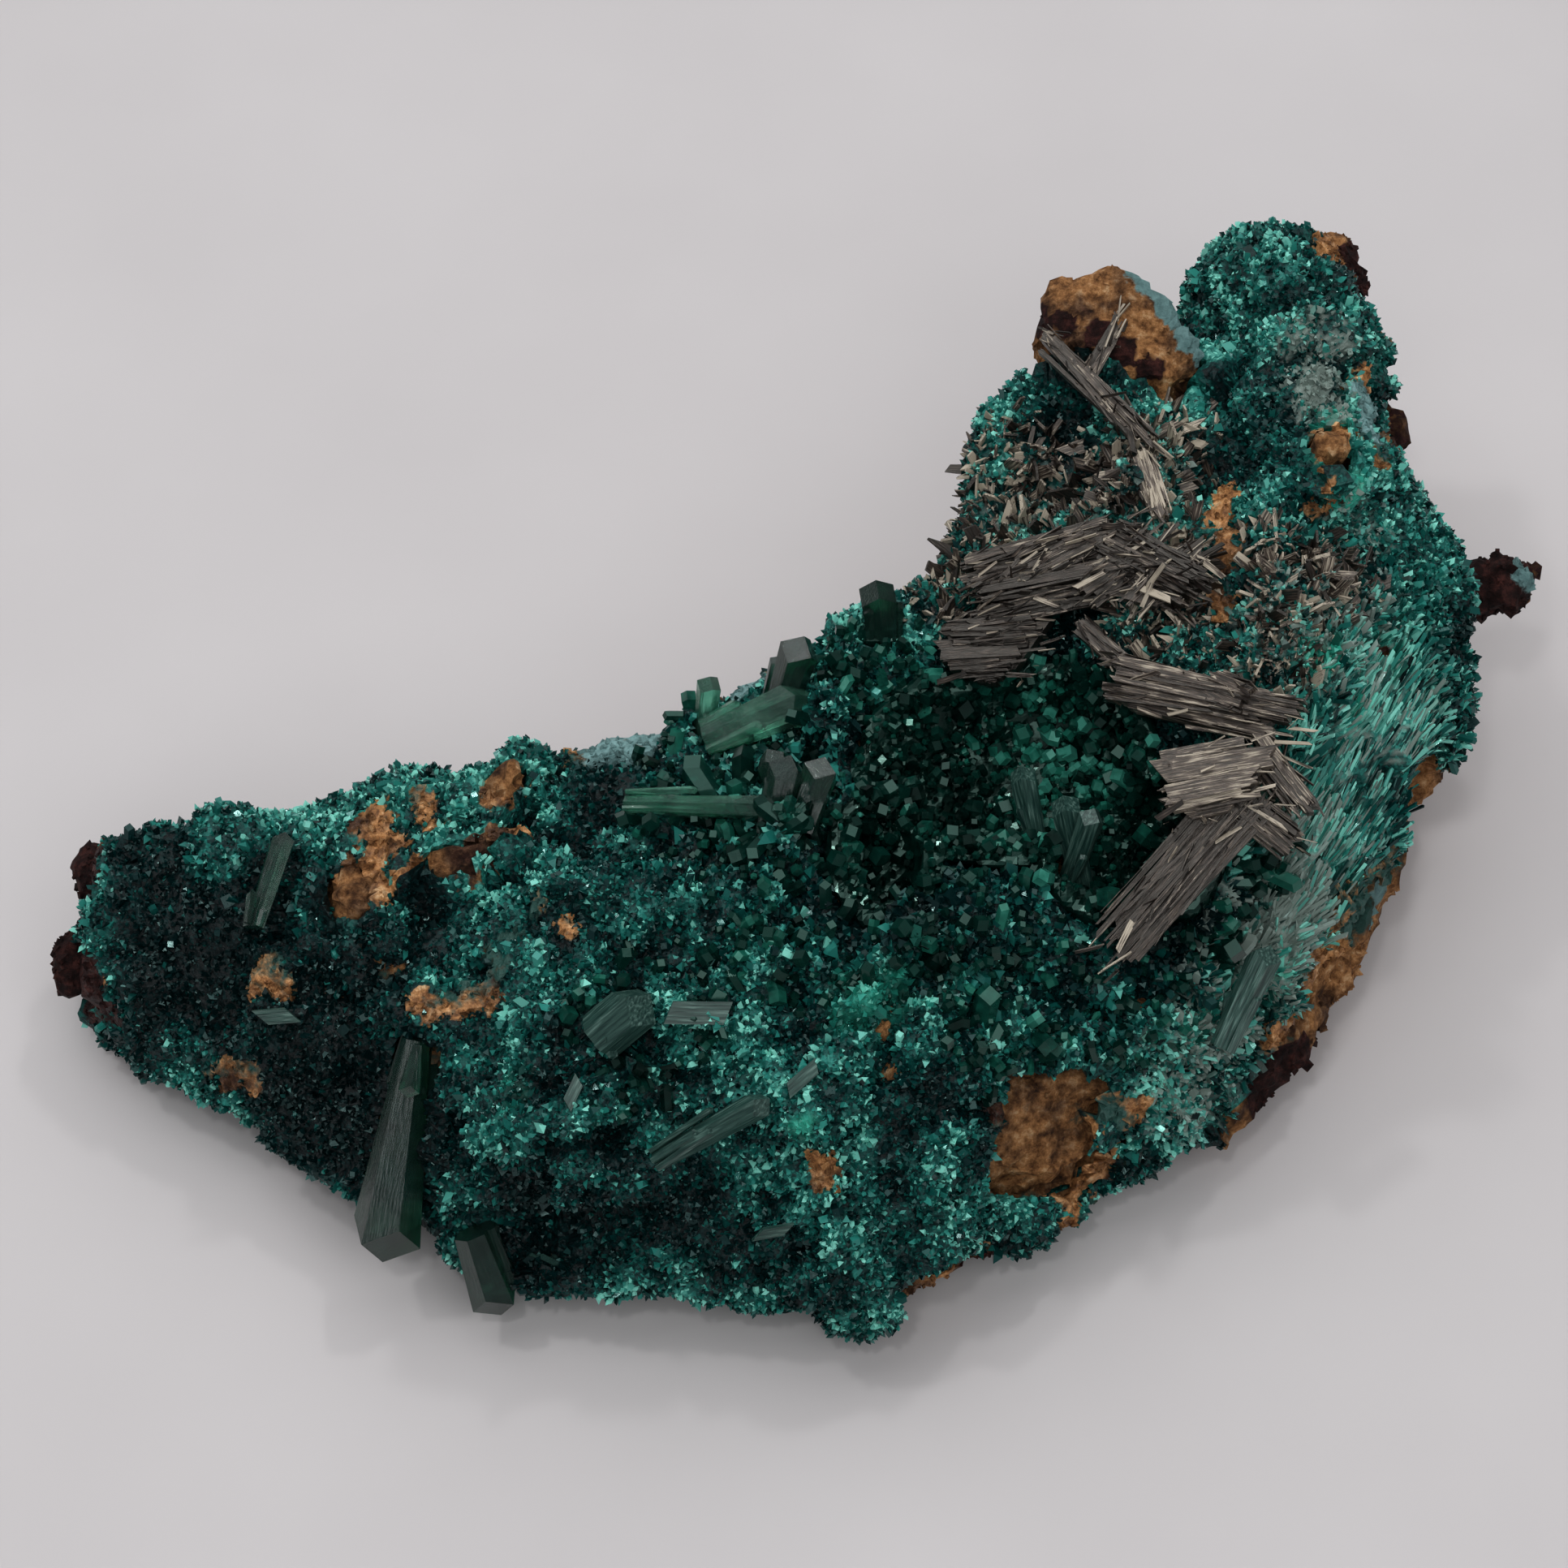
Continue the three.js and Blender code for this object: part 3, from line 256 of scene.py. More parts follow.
# Cerussite blades, each by its node: from, to, width, thickness, number of laths side by side and tone
CERUSSITE = {
    "cerussite_long_blade": [
        ([15.9, 23.4, 25.4], [22.6, 13.4, 25.6], 1.2, 0.6, 9, 0),
        ([18.4, 19.4, 25.2], [21, 24, 26.2], 1, 0.5, 4, 0.05),
    ],
    "cerussite_bright_blade": [([21.5, 13.8, 25.2], [22.6, 8.2, 25.4], 1.5, 0.6, 8, 0.36)],
    "cerussite_left_block": [([9.4, 2, 20.6], [15.7, 1.6, 22.2], 4, 1.8, 30, -0.16)],
    "cerussite_bundle": [
        ([10.5, 6.6, 21.6], [21.7, 7.6, 25.2], 2.6, 1.4, 26, -0.06),
        ([11, 4.4, 21.8], [21.3, 4.8, 24.8], 2.6, 1.5, 26, -0.1),
        ([18.8, 7.4, 24.8], [25.2, 2.4, 25.6], 3.4, 1.5, 30, -0.1),
        ([12.5, 5.2, 22.6], [19.5, 7.4, 25.4], 1.7, 0.9, 12, -0.02),
        ([17.6, 3.4, 24.4], [22.4, 7, 25.6], 2, 0.9, 14, -0.08),
        ([20.4, 2.2, 24.6], [24.8, 6.2, 25.8], 1.8, 0.8, 14, -0.05),
    ],
    "cerussite_lath": [([17.4, 2.6, 23], [21.2, -1.8, 22.8], 1.2, 0.6, 9, 0.05)],
    "cerussite_cluster": [
        ([18.4, -1.8, 23.2], [30.2, -6.8, 25.8], 3.2, 1.3, 26, 0.16),
        ([21.4, -10.4, 24], [28.2, -10, 25.6], 4.2, 1.8, 12, 0.3),
        ([24.6, -3.4, 24.8], [27, -5.4, 25.8], 2.4, 1, 10, 0.02),
        ([27.4, -9.6, 24.8], [18, -18.2, 17.6], 3, 1.2, 26, -0.06),
        ([24.4, -9.6, 24.4], [29.8, -13.4, 22.2], 2, 1.2, 16, 0.05),
        ([27, -7.4, 24.8], [30.4, -12, 23.8], 1.8, 1.1, 16, 0.02),
    ],
}
# Patches of small cerussite shards: centre, reach and how many
SHARDS = [
    (14, 16.5, 21.5, 4.5, 300), (11.5, 11.5, 21, 4.5, 380), (10, 7, 21.5, 3.6, 240), (18, 12, 23, 6, 520),
    (23, 15, 24.5, 5, 380), (25, 6, 25, 5, 400), (30.5, 4, 26, 5, 420), (29, -1, 25.5, 4.5, 320),
    (22, 1.5, 24, 5, 360), (29, -10, 22.5, 3.5, 120), (34, 5.5, 25, 3.6, 220),
]


def unit(v):
    """Directions of length 1"""
    v = np.asarray(v, float)
    return v / np.maximum(np.linalg.norm(v, axis=-1, keepdims=True), 1e-9)


def limit(x):
    """Kept from 0 to 1"""
    return np.clip(x, 0, 1)


def smooth(x, low, high):
    """A soft step from 0 at low to 1 at high"""
    t = limit((x - low) / (high - low))
    return t * t * (3 - 2 * t)


# Large numbers that make the lottery's draws look like chance
SCATTER = [374761393, 668265263, 2147483647, 974634777]
STIR = [(13, 1274126177), (16, 2246822519)]


def lottery(i, j, k, seed):
    """A repeatable number from 0 to 1 for each whole-number place"""
    mask = np.int64(0xFFFFFFFF)
    h = sum(number * large for number, large in zip((i, j, k, seed), SCATTER)) & mask
    for shift, large in STIR:
        h = ((h ^ (h >> shift)) * large) & mask
    return ((h ^ (h >> 15)) & 0xFFFFFF) / float(0xFFFFFF)


def noise(points, size, seed):
    """Smooth noise from -1 to 1"""
    q = points / size
    cell = np.floor(q).astype(np.int64)
    f = q - cell
    f = f * f * (3 - 2 * f)
    total = np.zeros(len(points))
    for corner in np.ndindex(2, 2, 2):
        weight = np.prod(np.where(np.array(corner), f, 1 - f), axis=1)
        total += weight * lottery(*(cell + corner).T, seed)
    return 2 * total - 1


def nearest_spots(points, size, seed):
    """The nearest of the spots that stand by chance, one in each cube of a lattice, and how far squared"""
    q = points / size
    cell = np.floor(q).astype(np.int64)
    nearest, centre = np.full(len(points), 9.0), q.copy()
    for step in np.ndindex(3, 3, 3):
        at = cell + np.array(step) - 1
        spot = at + np.stack([lottery(*at.T, seed + n) for n in (1, 2, 3)], 1)
        far = ((q - spot) ** 2).sum(1)
        closer = far < nearest
        nearest[closer], centre[closer] = far[closer], spot[closer]
    return centre * size, nearest


def domes(points, size, seed):
    """Rounded bumps side by side: 1 on top of each, falling to 0 in the grooves between them"""
    return 1 - limit(nearest_spots(points, size, seed)[1])


def cell_centres(points, size, seed):
    """For each point the middle of the angular cell that it lies in"""
    return nearest_spots(points, size, seed)[0]


def bend(points, by, size, seed):
    """Points shifted by smooth noise"""
    return points + by * np.stack([noise(points, size, seed + n) for n in range(3)], 1)


def far_from(points, at, reach=1):
    """Distance from a place in the drawing, in reaches"""
    return np.linalg.norm((points - (np.array(at) + ZERO)) / reach, axis=1)


def regions(points, spots, ragged=0.3, edge=0.35):
    """How much each point belongs to the named round regions, with a ragged edge"""
    wobble = ragged * (noise(points, 2.2, 5) + 0.9 * noise(points, 1.0, 6) + 0.6 * noise(points, 0.6, 7))
    total = np.zeros(len(points))
    for x, y, z, reach, *strength in spots:
        amount = smooth(1 - far_from(points, (x, y, z), reach) + wobble, 0, edge)
        total += amount * (strength[0] if strength else 1)
    return total


def falloff(points, at, reach):
    """1 at a place, fading to almost nothing at twice its reach"""
    return np.exp(-1.4 * far_from(points, at, reach) ** 2)


def blobs(points, spots):
    """The same as regions, with wide, soft edges"""
    return sum(amount * falloff(points, at, reach) for *at, reach, amount in spots)


def part_of(points, spots, most=1):
    """Blobs that never count for more than the most"""
    return np.clip(blobs(points, spots), 0, most)


def mesh_from(name, points, sizes, corners, values=None):
    """A mesh from corner lists in millimetres, with one number per vertex in each named attribute"""
    mesh = bpy.data.meshes.new(name)
    mesh.vertices.add(len(points))
    mesh.vertices.foreach_set("co", (np.asarray(points, float) * MM).ravel())
    mesh.loops.add(len(corners))
    mesh.loops.foreach_set("vertex_index", np.asarray(corners, np.int32))
    mesh.polygons.add(len(sizes))
    starts = np.concatenate([[0], np.cumsum(sizes)[:-1]])
    mesh.polygons.foreach_set("loop_start", starts.astype(np.int32))
    mesh.polygons.foreach_set("use_smooth", np.zeros(len(sizes), bool))
    mesh.update(calc_edges=True)
    for key, numbers in (values or {}).items():
        kind, what = ("FLOAT_VECTOR", "vector") if np.ndim(numbers) == 2 else ("FLOAT", "value")
        layer = mesh.attributes.new(key, kind, "POINT")
        layer.data.foreach_set(what, np.asarray(numbers, np.float32).ravel())
    return mesh


def piece(name, faces, material, slot, *replaces):
    """Puts a mesh in the scene as a piece of the specimen"""
    mesh = mesh_from(name, *faces)
    mesh.materials.append(material)
    made = bpy.data.objects.new(name, mesh)
    bpy.context.scene.collection.objects.link(made)
    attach(made, "root")
    if replaces:
        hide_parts(*replaces)
    return mesh


def repeat(shape, kind, per_copy=None, per_corner=None):
    """Joins copies of one small shape, from the corners of each copy, with values for copies and corners"""
    sizes, corners = kind
    count, each = shape.shape[:2]
    offsets = np.repeat(np.arange(count) * each, len(corners))
    values = {key: np.repeat(numbers, each, axis=0) for key, numbers in (per_copy or {}).items()}
    values.update(per_corner or {})
    return shape.reshape(-1, 3), np.tile(sizes, count), np.tile(corners, count) + offsets, values


def above_floor_only(shape, kind, per_copy):
    """The same, without the copies that would touch the floor"""
    kept = shape[:, :, 2].min(1) > 0.02
    return repeat(shape[kept], kind, {key: numbers[kept] for key, numbers in per_copy.items()})


# A direction that few crystals lie along, to find their sides by
SIDEWAYS = np.array([0.2, 0.9, 0.4])


def frames(along, hint=SIDEWAYS):
    """For each direction, two more that stand square to it"""
    z = unit(along)
    x = np.cross(hint, z)
    weak = np.linalg.norm(x, axis=1) < 1e-3
    x[weak] = np.cross([1.0, 0.3, 0.2], z[weak])
    x = unit(x)
    return x, np.cross(z, x), z


def own_places(shape, origin, axes):
    """Each corner's place across, up and along its own crystal"""
    rows = shape - origin[:, None]
    return np.stack([(rows * axis[:, None]).sum(2) for axis in axes], 2).reshape(-1, 3)


def ring(number, radius, spin, x, y, flat=1.0):
    """The steps from the middle of a polygon to its corners"""
    angles = [spin + k * 2 * math.pi / number for k in range(number)]
    return [(radius * np.cos(a))[:, None] * x + (radius * flat * np.sin(a))[:, None] * y for a in angles]


# Each kind of small shape has the number of corners of each face, and the corners of all faces in turn
HEX_CORNERS = [5, 4, 3, 2, 1, 0]
for side in range(6):
    HEX_CORNERS += [side, (side + 1) % 6, 6 + (side + 1) % 6, 6 + side]
for low in (0, 2, 4):
    HEX_CORNERS += [12, 6 + (low - 1) % 6, 6 + low, 6 + (low + 1) % 6]
HEX = [6] + [4] * 9, HEX_CORNERS
CHIP = [3, 4, 4, 4, 3], [2, 1, 0, 0, 1, 4, 3, 1, 2, 5, 4, 2, 0, 3, 5, 3, 4, 5]
POINT = [3] * 4, [2, 1, 0, 0, 1, 3, 1, 2, 3, 2, 0, 3]
LATH = [4] * 6, [0, 3, 2, 1, 4, 5, 6, 7, 0, 1, 5, 4, 1, 2, 6, 5, 2, 3, 7, 6, 3, 0, 4, 7]
# Height of a prism's three end faces, as a share of its radius
CAP = 0.58


def prisms(foot, along, radius, length, spin, flat=1.0, waist=1.0):
    """Hexagonal prisms with three rhombic end faces, 13 corners each; waist is their width at the foot"""
    x, y, z = frames(along)
    radius, length, flat = (np.broadcast_to(v, len(foot)) for v in (radius, length, flat))
    shape = np.zeros((len(foot), 13, 3))
    for k, across in enumerate(ring(6, radius, spin, x, y, flat)):
        drop = CAP * radius * (1 if k % 2 else 2)
        shape[:, k] = foot + waist * across
        shape[:, 6 + k] = foot + across + np.maximum(length - drop, 0.12 * length)[:, None] * z
    shape[:, 12] = foot + length[:, None] * z
    return shape


def chips(foot, along, radius, length, spin, slant):
    """Three-sided crystals with one slanting end face, 6 corners each"""
    x, y, z = frames(along)
    shape = np.zeros((len(foot), 6, 3))
    for k, across in enumerate(ring(3, radius, spin, x, y)):
        reach = length + slant * radius * np.cos(k * 2 * math.pi / 3)
        shape[:, k] = foot + across
        shape[:, 3 + k] = foot + 0.85 * across + reach[:, None] * z
    return shape


def blunt_points(foot, along, radius, length, spin):
    """Small blunt points, 4 corners each"""
    x, y, z = frames(along)
    sides = [foot + across for across in ring(3, radius, spin, x, y)]
    return np.stack([*sides, foot + length[:, None] * z], 1)


def laths(start, end, face, width, thick, slants, taper=1.0):
    """Flat bars with slanting ends, 8 corners each"""
    x, y, z = frames(end - start, face)
    shape = np.zeros((len(start), 8, 3))
    for k, (a, b) in enumerate([(-1, -1), (1, -1), (1, 1), (-1, 1)]):
        across = 0.5 * a * width[:, None] * x + 0.5 * b * thick[:, None] * y
        shape[:, k] = start + across + (slants[0] * a * width)[:, None] * z
        shape[:, 4 + k] = end + taper * across + (slants[1] * a * width)[:, None] * z
    return shape


def read(items, what, kind=float):
    """One property of a mesh's vertices, corners or faces"""
    each = 3 if kind is float else 1
    found = np.zeros(len(items) * each, kind)
    items.foreach_get(what, found)
    return found.reshape(-1, 3) if each == 3 else found


def rebuilt(node, grid):
    """A solid's skin as an even, fine grid: corner places and their directions, and the faces"""
    copy = bpy.data.objects.new("copy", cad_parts[node].data.copy())
    bpy.context.scene.collection.objects.link(copy)
    remesh = copy.modifiers.new("even", "REMESH")
    remesh.mode = "VOXEL"
    remesh.voxel_size = grid * MM
    even = copy.evaluated_get(bpy.context.evaluated_depsgraph_get()).to_mesh()
    points, normals = read(even.vertices, "co") / MM, read(even.vertices, "normal")
    sizes = read(even.polygons, "loop_total", np.int32)
    corners = read(even.loops, "vertex_index", np.int32)
    mesh = copy.data
    bpy.data.objects.remove(copy)
    bpy.data.meshes.remove(mesh)
    return points, normals, sizes, corners


def tree_of(node):
    """For nearest-point questions about a solid, in millimetres"""
    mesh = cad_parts[node].data
    points = [v.co / MM for v in mesh.vertices]
    return BVHTree.FromPolygons(points, [p.vertices[:] for p in mesh.polygons])


rock_tree, crust_tree, vug_tree = tree_of("matrix"), tree_of("dioptase_crust"), tree_of("vug_crystals")


def distances(points, tree):
    """How far each point is from a solid"""
    return np.array([tree.find_nearest(Vector(p))[3] for p in points])


def facing_out(points, normals, tree):
    """1 where a skin faces away from the solid it lies on, 0 where it faces it"""
    nearest = np.array([tree.find_nearest(Vector(p))[0] for p in points])
    return smooth((unit(points - nearest) * normals).sum(1), -0.1, 0.3)


def sample(points, normals, quads, weights, count, *others):
    """Random places on a skin of quads, more where the weights are larger, with directions and values"""
    a, b, c, d = (points[quads[:, n]] for n in range(4))
    area = np.linalg.norm(np.cross(c - a, d - b), axis=1) * weights[quads].mean(1)
    corner = quads[random.choice(len(quads), count, p=area / area.sum())]
    u, v = random.random((2, count))

    def blend(what):
        p, q, r, s = (what[corner[:, n]].T for n in range(4))
        return ((1 - u) * ((1 - v) * p + v * s) + u * ((1 - v) * q + v * r)).T

    return blend(points), unit(blend(normals)), *(blend(what) for what in others)


def chance_sizes(spread, count):
    """Sizes about 1"""
    return np.exp(spread * random.normal(size=count))


def chance_ways(spread, count):
    """Shifts that lean a direction one way or another"""
    return spread * random.normal(size=(count, 3))


def chance_turns(count):
    """Angles all the way round"""
    return random.random(count) * 2 * math.pi


def lowness(points):
    """0 on top of the druse's lumps, about 1 in the gaps between them"""
    bent = bend(points, 0.7, 1.7, 71)
    low = 0.56 * smooth(domes(bent, 5.4, 31), 0.75, 0.4)
    low += 0.32 * smooth(domes(bent, 2.5, 33), 0.78, 0.35) + 0.12 * smooth(domes(points, 1.2, 35), 0.8, 0.3)
    return low


def sunk(points, low):
    """How deep the druse's ground lies under the crust's outer skin, less beside the vug"""
    calm = 1 - 0.55 * part_of(points, CALM)
    depth = calm * (GAPS * low - 0.35) + part_of(points, DEEP, 2.4)
    return SKIN + depth * smooth(distances(points, vug_tree), 0.3, 2.5) - blobs(points, SWELL)


def off_floor(points):
    """Nothing reaches under the floor"""
    points[:, 2] = np.maximum(points[:, 2], 0.01)
    return points


# Materials


class Look:
    """A material, with short ways to add nodes to it. Scales are per metre and bump heights in metres."""

    def __init__(self, name):
        self.material = bpy.data.materials.new(name)
        self.material.use_nodes = True
        self.tree = self.material.node_tree
        self.shader = self.tree.nodes["Principled BSDF"]

    def feed(self, socket, value):
        """Gives a socket another node's output, a number, a direction or a colour of three numbers"""
        if isinstance(value, bpy.types.NodeSocket):
            self.tree.links.new(value, socket)
        else:
            socket.default_value = (*value, 1) if socket.type == "RGBA" else value

    def set(self, target, **settings):
        """Gives a node's sockets and settings their values"""
        for key, value in settings.items():
            socket_name = key.replace("_", " ")
            if socket_name in target.inputs.keys():
                self.feed(target.inputs[socket_name], value)
            else:
                setattr(target, key, value)

    def node(self, kind, **settings):
        made = self.tree.nodes.new(kind)
        self.set(made, **settings)
        return made

    def attribute(self, name, output="Fac"):
        return self.node("ShaderNodeAttribute", attribute_name=name).outputs[output]

    def ramp(self, source, *stops):
        """Colours by a number, from stops of a place and a colour"""
        made = self.node("ShaderNodeValToRGB", Fac=source)
        elements = made.color_ramp.elements
        for n, (place, colour) in enumerate(stops):
            element = elements[n] if n < 2 else elements.new(place)
            element.position = place
            element.color = (*colour, 1)
        return made.outputs["Color"]

    def curve(self, source, *stops):
        """The same for greys, which serve as numbers"""
        return self.ramp(source, *((place, [value] * 3) for place, value in stops))

    def mix(self, factor, first, second):
        made = self.node("ShaderNodeMix", data_type="RGBA")
        for number, value in zip((0, 6, 7), (factor, first, second)):
            self.feed(made.inputs[number], value)
        return made.outputs[2]

    def calculate(self, operation, *numbers):
        made = self.node("ShaderNodeMath", operation=operation)
        for socket, number in zip(made.inputs, numbers):
            self.feed(socket, number)
        return made.outputs[0]

    def where(self):
        return self.node("ShaderNodeTexCoord").outputs["Object"]

    def clouds(self, vector, scale, detail, harsh=0.5):
        made = self.node("ShaderNodeTexNoise", Scale=scale, Detail=detail, Roughness=harsh, Vector=vector)
        return made.outputs["Fac"]

    def specks(self, scale, detail, harsh=0.5):
        return self.clouds(self.where(), scale, detail, harsh)

    def along_grain(self, scale):
        """Fine lines along a crystal, from its own directions"""
        grain = self.node("ShaderNodeMapping", Vector=self.attribute("local", "Vector"), Scale=scale)
        return self.clouds(grain.outputs["Vector"], 1, 5)

    def crisp(self, name, scale=2600):
        """An attribute's soft edge turned into a ragged, sharp one"""
        wobble = self.calculate("MULTIPLY_ADD", self.specks(scale, 4), 0.9, -0.45)
        total = self.calculate("ADD", wobble, self.attribute(name))
        return self.curve(total, (0.38, 0), (0.62, 1))

    def bump(self, height, strength, distance):
        made = self.node("ShaderNodeBump", Height=height, Strength=strength, Distance=distance)
        self.set(self.shader, Normal=made.outputs["Normal"])


OCHRE = [
    (0.30, (0.036, 0.015, 0.007)),
    (0.42, (0.24, 0.108, 0.040)),
    (0.55, (0.56, 0.285, 0.115)),
    (0.70, (0.90, 0.64, 0.38)),
]
UMBER = [(0.32, (0.012, 0.006, 0.004)), (0.48, (0.075, 0.034, 0.017)), (0.70, (0.26, 0.145, 0.08))]
IRON_RED = [(0.34, (0.003, 0.0012, 0.0012)), (0.50, (0.028, 0.008, 0.007)), (0.68, (0.11, 0.035, 0.028))]
BLUE_SKIN = [(0.3, (0.10, 0.20, 0.20)), (0.7, (0.30, 0.50, 0.50))]
# Druse greens by shade; the pale, nearly white top end is what the painted glints reach
DRUSE_GREENS = [
    (0.0, (0.0006, 0.0055, 0.0065)),
    (0.25, (0.0022, 0.026, 0.027)),
    (0.5, (0.006, 0.095, 0.082)),
    (0.75, (0.034, 0.27, 0.228)),
    (1.0, (0.25, 0.69, 0.58)),
]
VUG_GREENS = [
    (0, (0.0006, 0.004, 0.0035)),
    (0.55, (0.003, 0.036, 0.027)),
    (0.85, (0.014, 0.14, 0.10)),
    (1, (0.05, 0.26, 0.20)),
]
FROSTED = [(0.35, (0.009, 0.036, 0.031)), (0.55, (0.036, 0.088, 0.074)), (0.75, (0.15, 0.25, 0.22))]
# Cerussite grey-browns by tone; the pale top end serves the shards' painted highlights
GREY_BROWNS = [
    (0.28, (0.002, 0.0014, 0.0012)),
    (0.50, (0.015, 0.0098, 0.0083)),
    (0.70, (0.082, 0.058, 0.046)),
    (0.92, (0.50, 0.44, 0.35)),
]


def rock_colour(look):
    """Tan-brown gossan with dark red iron oxide and pale blue skins"""
    grain, broad = look.specks(1300, 9, 0.72), look.specks(260, 8, 0.62)
    ochre, umber, red, blue = (look.ramp(grain, *stops) for stops in (OCHRE, UMBER, IRON_RED, BLUE_SKIN))
    worn = look.mix(look.curve(broad, (0.46, 0), (0.60, 1)), ochre, umber)
    plain = look.mix(look.curve(broad, (0.60, 0), (0.70, 0.8)), worn, red)
    stained = look.mix(look.crisp("stain", 1700), plain, (0.035, 0.10, 0.085))
    return look.mix(look.crisp("blue"), look.mix(look.crisp("dark"), stained, red), blue)


def druse_colour(look, shade):
    """Blue-green, minty in places and dull grey-green where it is frosted"""
    minty = look.mix(look.attribute("mint"), look.ramp(shade, *DRUSE_GREENS), (0.045, 0.46, 0.33))
    return look.mix(look.attribute("frost"), minty, (0.24, 0.30, 0.27))


def rock_material():
    look = Look("gossan")
    look.set(look.shader, Base_Color=rock_colour(look), Roughness=0.8, Specular_IOR_Level=0.25)
    look.bump(look.specks(1300, 9, 0.72), 1.0, 0.0006)
    return look.material


def druse_material():
    look = Look("dioptase_druse")
    dull = look.curve(look.specks(500, 2), (0.35, 0.1), (0.65, 0.35))
    look.set(look.shader, Base_Color=druse_colour(look, look.attribute("shade")), Roughness=dull, IOR=1.6)
    look.set(look.shader, Specular_IOR_Level=0.42, Specular_Tint=(0.62, 0.96, 0.92))
    look.bump(look.specks(4000, 3), 0.25, 0.00005)
    return look.material


def ground_material():
    """The crust between and under its crystals, with the rubbed patches of rock"""
    look = Look("druse_ground")
    facets = look.node("ShaderNodeTexVoronoi", Scale=4600, Vector=look.where()).outputs["Color"]
    shade = look.calculate("MULTIPLY_ADD", facets, 0.5, -0.25)
    shade = look.calculate("ADD", shade, look.attribute("shade"))
    colour = look.mix(look.crisp("bare"), druse_colour(look, shade), rock_colour(look))
    look.set(look.shader, Base_Color=colour, Roughness=0.45, Specular_IOR_Level=0.3)
    look.bump(look.calculate("ADD", facets, look.specks(2200, 6)), 1.0, 0.00025)
    return look.material


def crystal_material(name, density, dark, light):
    """Clear emerald green crystal, striated along its length and clouded inside"""
    look = Look(name)
    tint = look.ramp(look.specks(700, 4), (0.3, dark), (0.7, light))
    lines = look.along_grain((9, 9, 0.35))
    rough = look.curve(lines, (0.35, 0.06), (0.7, 0.24))
    look.set(look.shader, Base_Color=tint, Roughness=rough, IOR=1.66, Transmission_Weight=0.9)
    look.bump(lines, 0.55, 0.00008)
    absorb = look.node("ShaderNodeVolumeAbsorption", Color=(0.03, 0.60, 0.38), Density=density)
    look.set(look.tree.nodes["Material Output"], Volume=absorb.outputs["Volume"])
    return look.material


def vug_material():
    look = Look("vug_dioptase")
    cloud = look.calculate("MULTIPLY_ADD", look.specks(1500, 4), 0.5, -0.25)
    colour = look.ramp(look.calculate("ADD", cloud, look.attribute("shade")), *VUG_GREENS)
    look.set(look.shader, Base_Color=colour, Roughness=0.17, IOR=1.66, Specular_Tint=(0.55, 0.92, 0.8))
    look.bump(look.specks(1800, 4), 0.12, 0.00005)
    return look.material


def lath_material():
    """Frosted grey-teal crystal with fine lines along it"""
    look = Look("frosted_dioptase")
    lines = look.along_grain((7, 7, 0.5))
    look.set(look.shader, Base_Color=look.ramp(lines, *FROSTED), Roughness=0.3)
    look.bump(lines, 0.4, 0.0001)
    return look.material


def cerussite_material():
    """Grey-brown, striated, with an oily shine"""
    look = Look("cerussite")
    lines = look.along_grain((14, 14, 0.6))
    clouds = look.calculate("MULTIPLY_ADD", look.along_grain((1.5, 1.5, 0.9)), 0.9, -0.49)
    strong = look.calculate("MULTIPLY_ADD", lines, 1.9, -0.45)
    tone = look.calculate("ADD", look.calculate("ADD", strong, look.attribute("shade")), clouds)
    colour = look.ramp(look.calculate("MULTIPLY", tone, 0.8), *GREY_BROWNS)
    look.set(look.shader, Base_Color=colour, Roughness=0.34, IOR=1.9, Specular_Tint=(1, 0.94, 0.86))
    look.bump(lines, 0.7, 0.00015)
    return look.material


GOSSAN, DRUSE, GROUND = rock_material(), druse_material(), ground_material()
DARK_CRYSTAL = crystal_material("dark_dioptase", 1100, (0.03, 0.13, 0.10), (0.10, 0.30, 0.24))
LIGHT_CRYSTAL = crystal_material("light_dioptase", 240, (0.12, 0.48, 0.35), (0.40, 0.85, 0.68))
BLOCKY, LATH_LOOK, GREY_BROWN = vug_material(), lath_material(), cerussite_material()


def rock_values(points):
    """Where the rock is dark red, pale blue, and stained green beside the druse"""
    near_druse = 1 - smooth(distances(points, crust_tree), 0.3, 2.6)
    clean = limit(blobs(points, THROUGH) + regions(points, CLEAN))
    return {
        "dark": limit(regions(points, DARK_RED, 0.2)),
        "blue": limit(regions(points, PALE_BLUE, 0.12)),
        "stain": near_druse * (0.35 + 0.8 * noise(points, 3.4, 44)) * (1 - clean),
    }


# The rock, sunk where the druse lies over it
points, normals, sizes, corners = rebuilt("matrix", ROCK_GRID)
above_floor = smooth(points[:, 2], 0.15, 1.2)
bent = bend(points, 0.5, 1.5, 74)
rough = 0.25 * noise(points, 1.6, 24)
for cell, height, size, seed in BROKEN_FACES:
    rough += height * noise(cell_centres(bent, cell, seed + 7), size, seed)
rough -= 0.5 * smooth(noise(bent * [1, 1, 2.2], 4.2, 25), 0.25, 0.6)
rough = rough * (1 - part_of(points, FLAT, 0.75)) + blobs(points, ROCK_SWELL)
rough += part_of(points, CRAGGY) * (1.1 * noise(bent, 2.2, 26) + 0.7 * noise(points, 1.1, 27))
covered = 1 - smooth(distances(points, crust_tree), 0.45, 1.3)
covered *= 1 - part_of(points, THROUGH)
rough -= covered * (0.3 + blobs(points, ROCK_SWELL) + sunk(points, lowness(points)))
for *at, reach, way in PULL:
    points = points + falloff(points, at, reach)[:, None] * np.array(way)
points = off_floor(points + normals * (rough * above_floor)[:, None])
rock = piece("rock", (points, sizes, corners, rock_values(points)), GOSSAN, "matrix", "matrix")
weight = (1 - covered) * above_floor * (1 + 6 * part_of(points, SEEN_ROCK))
rock_skin = points, read(rock.vertices, "normal"), corners.reshape(-1, 4), weight


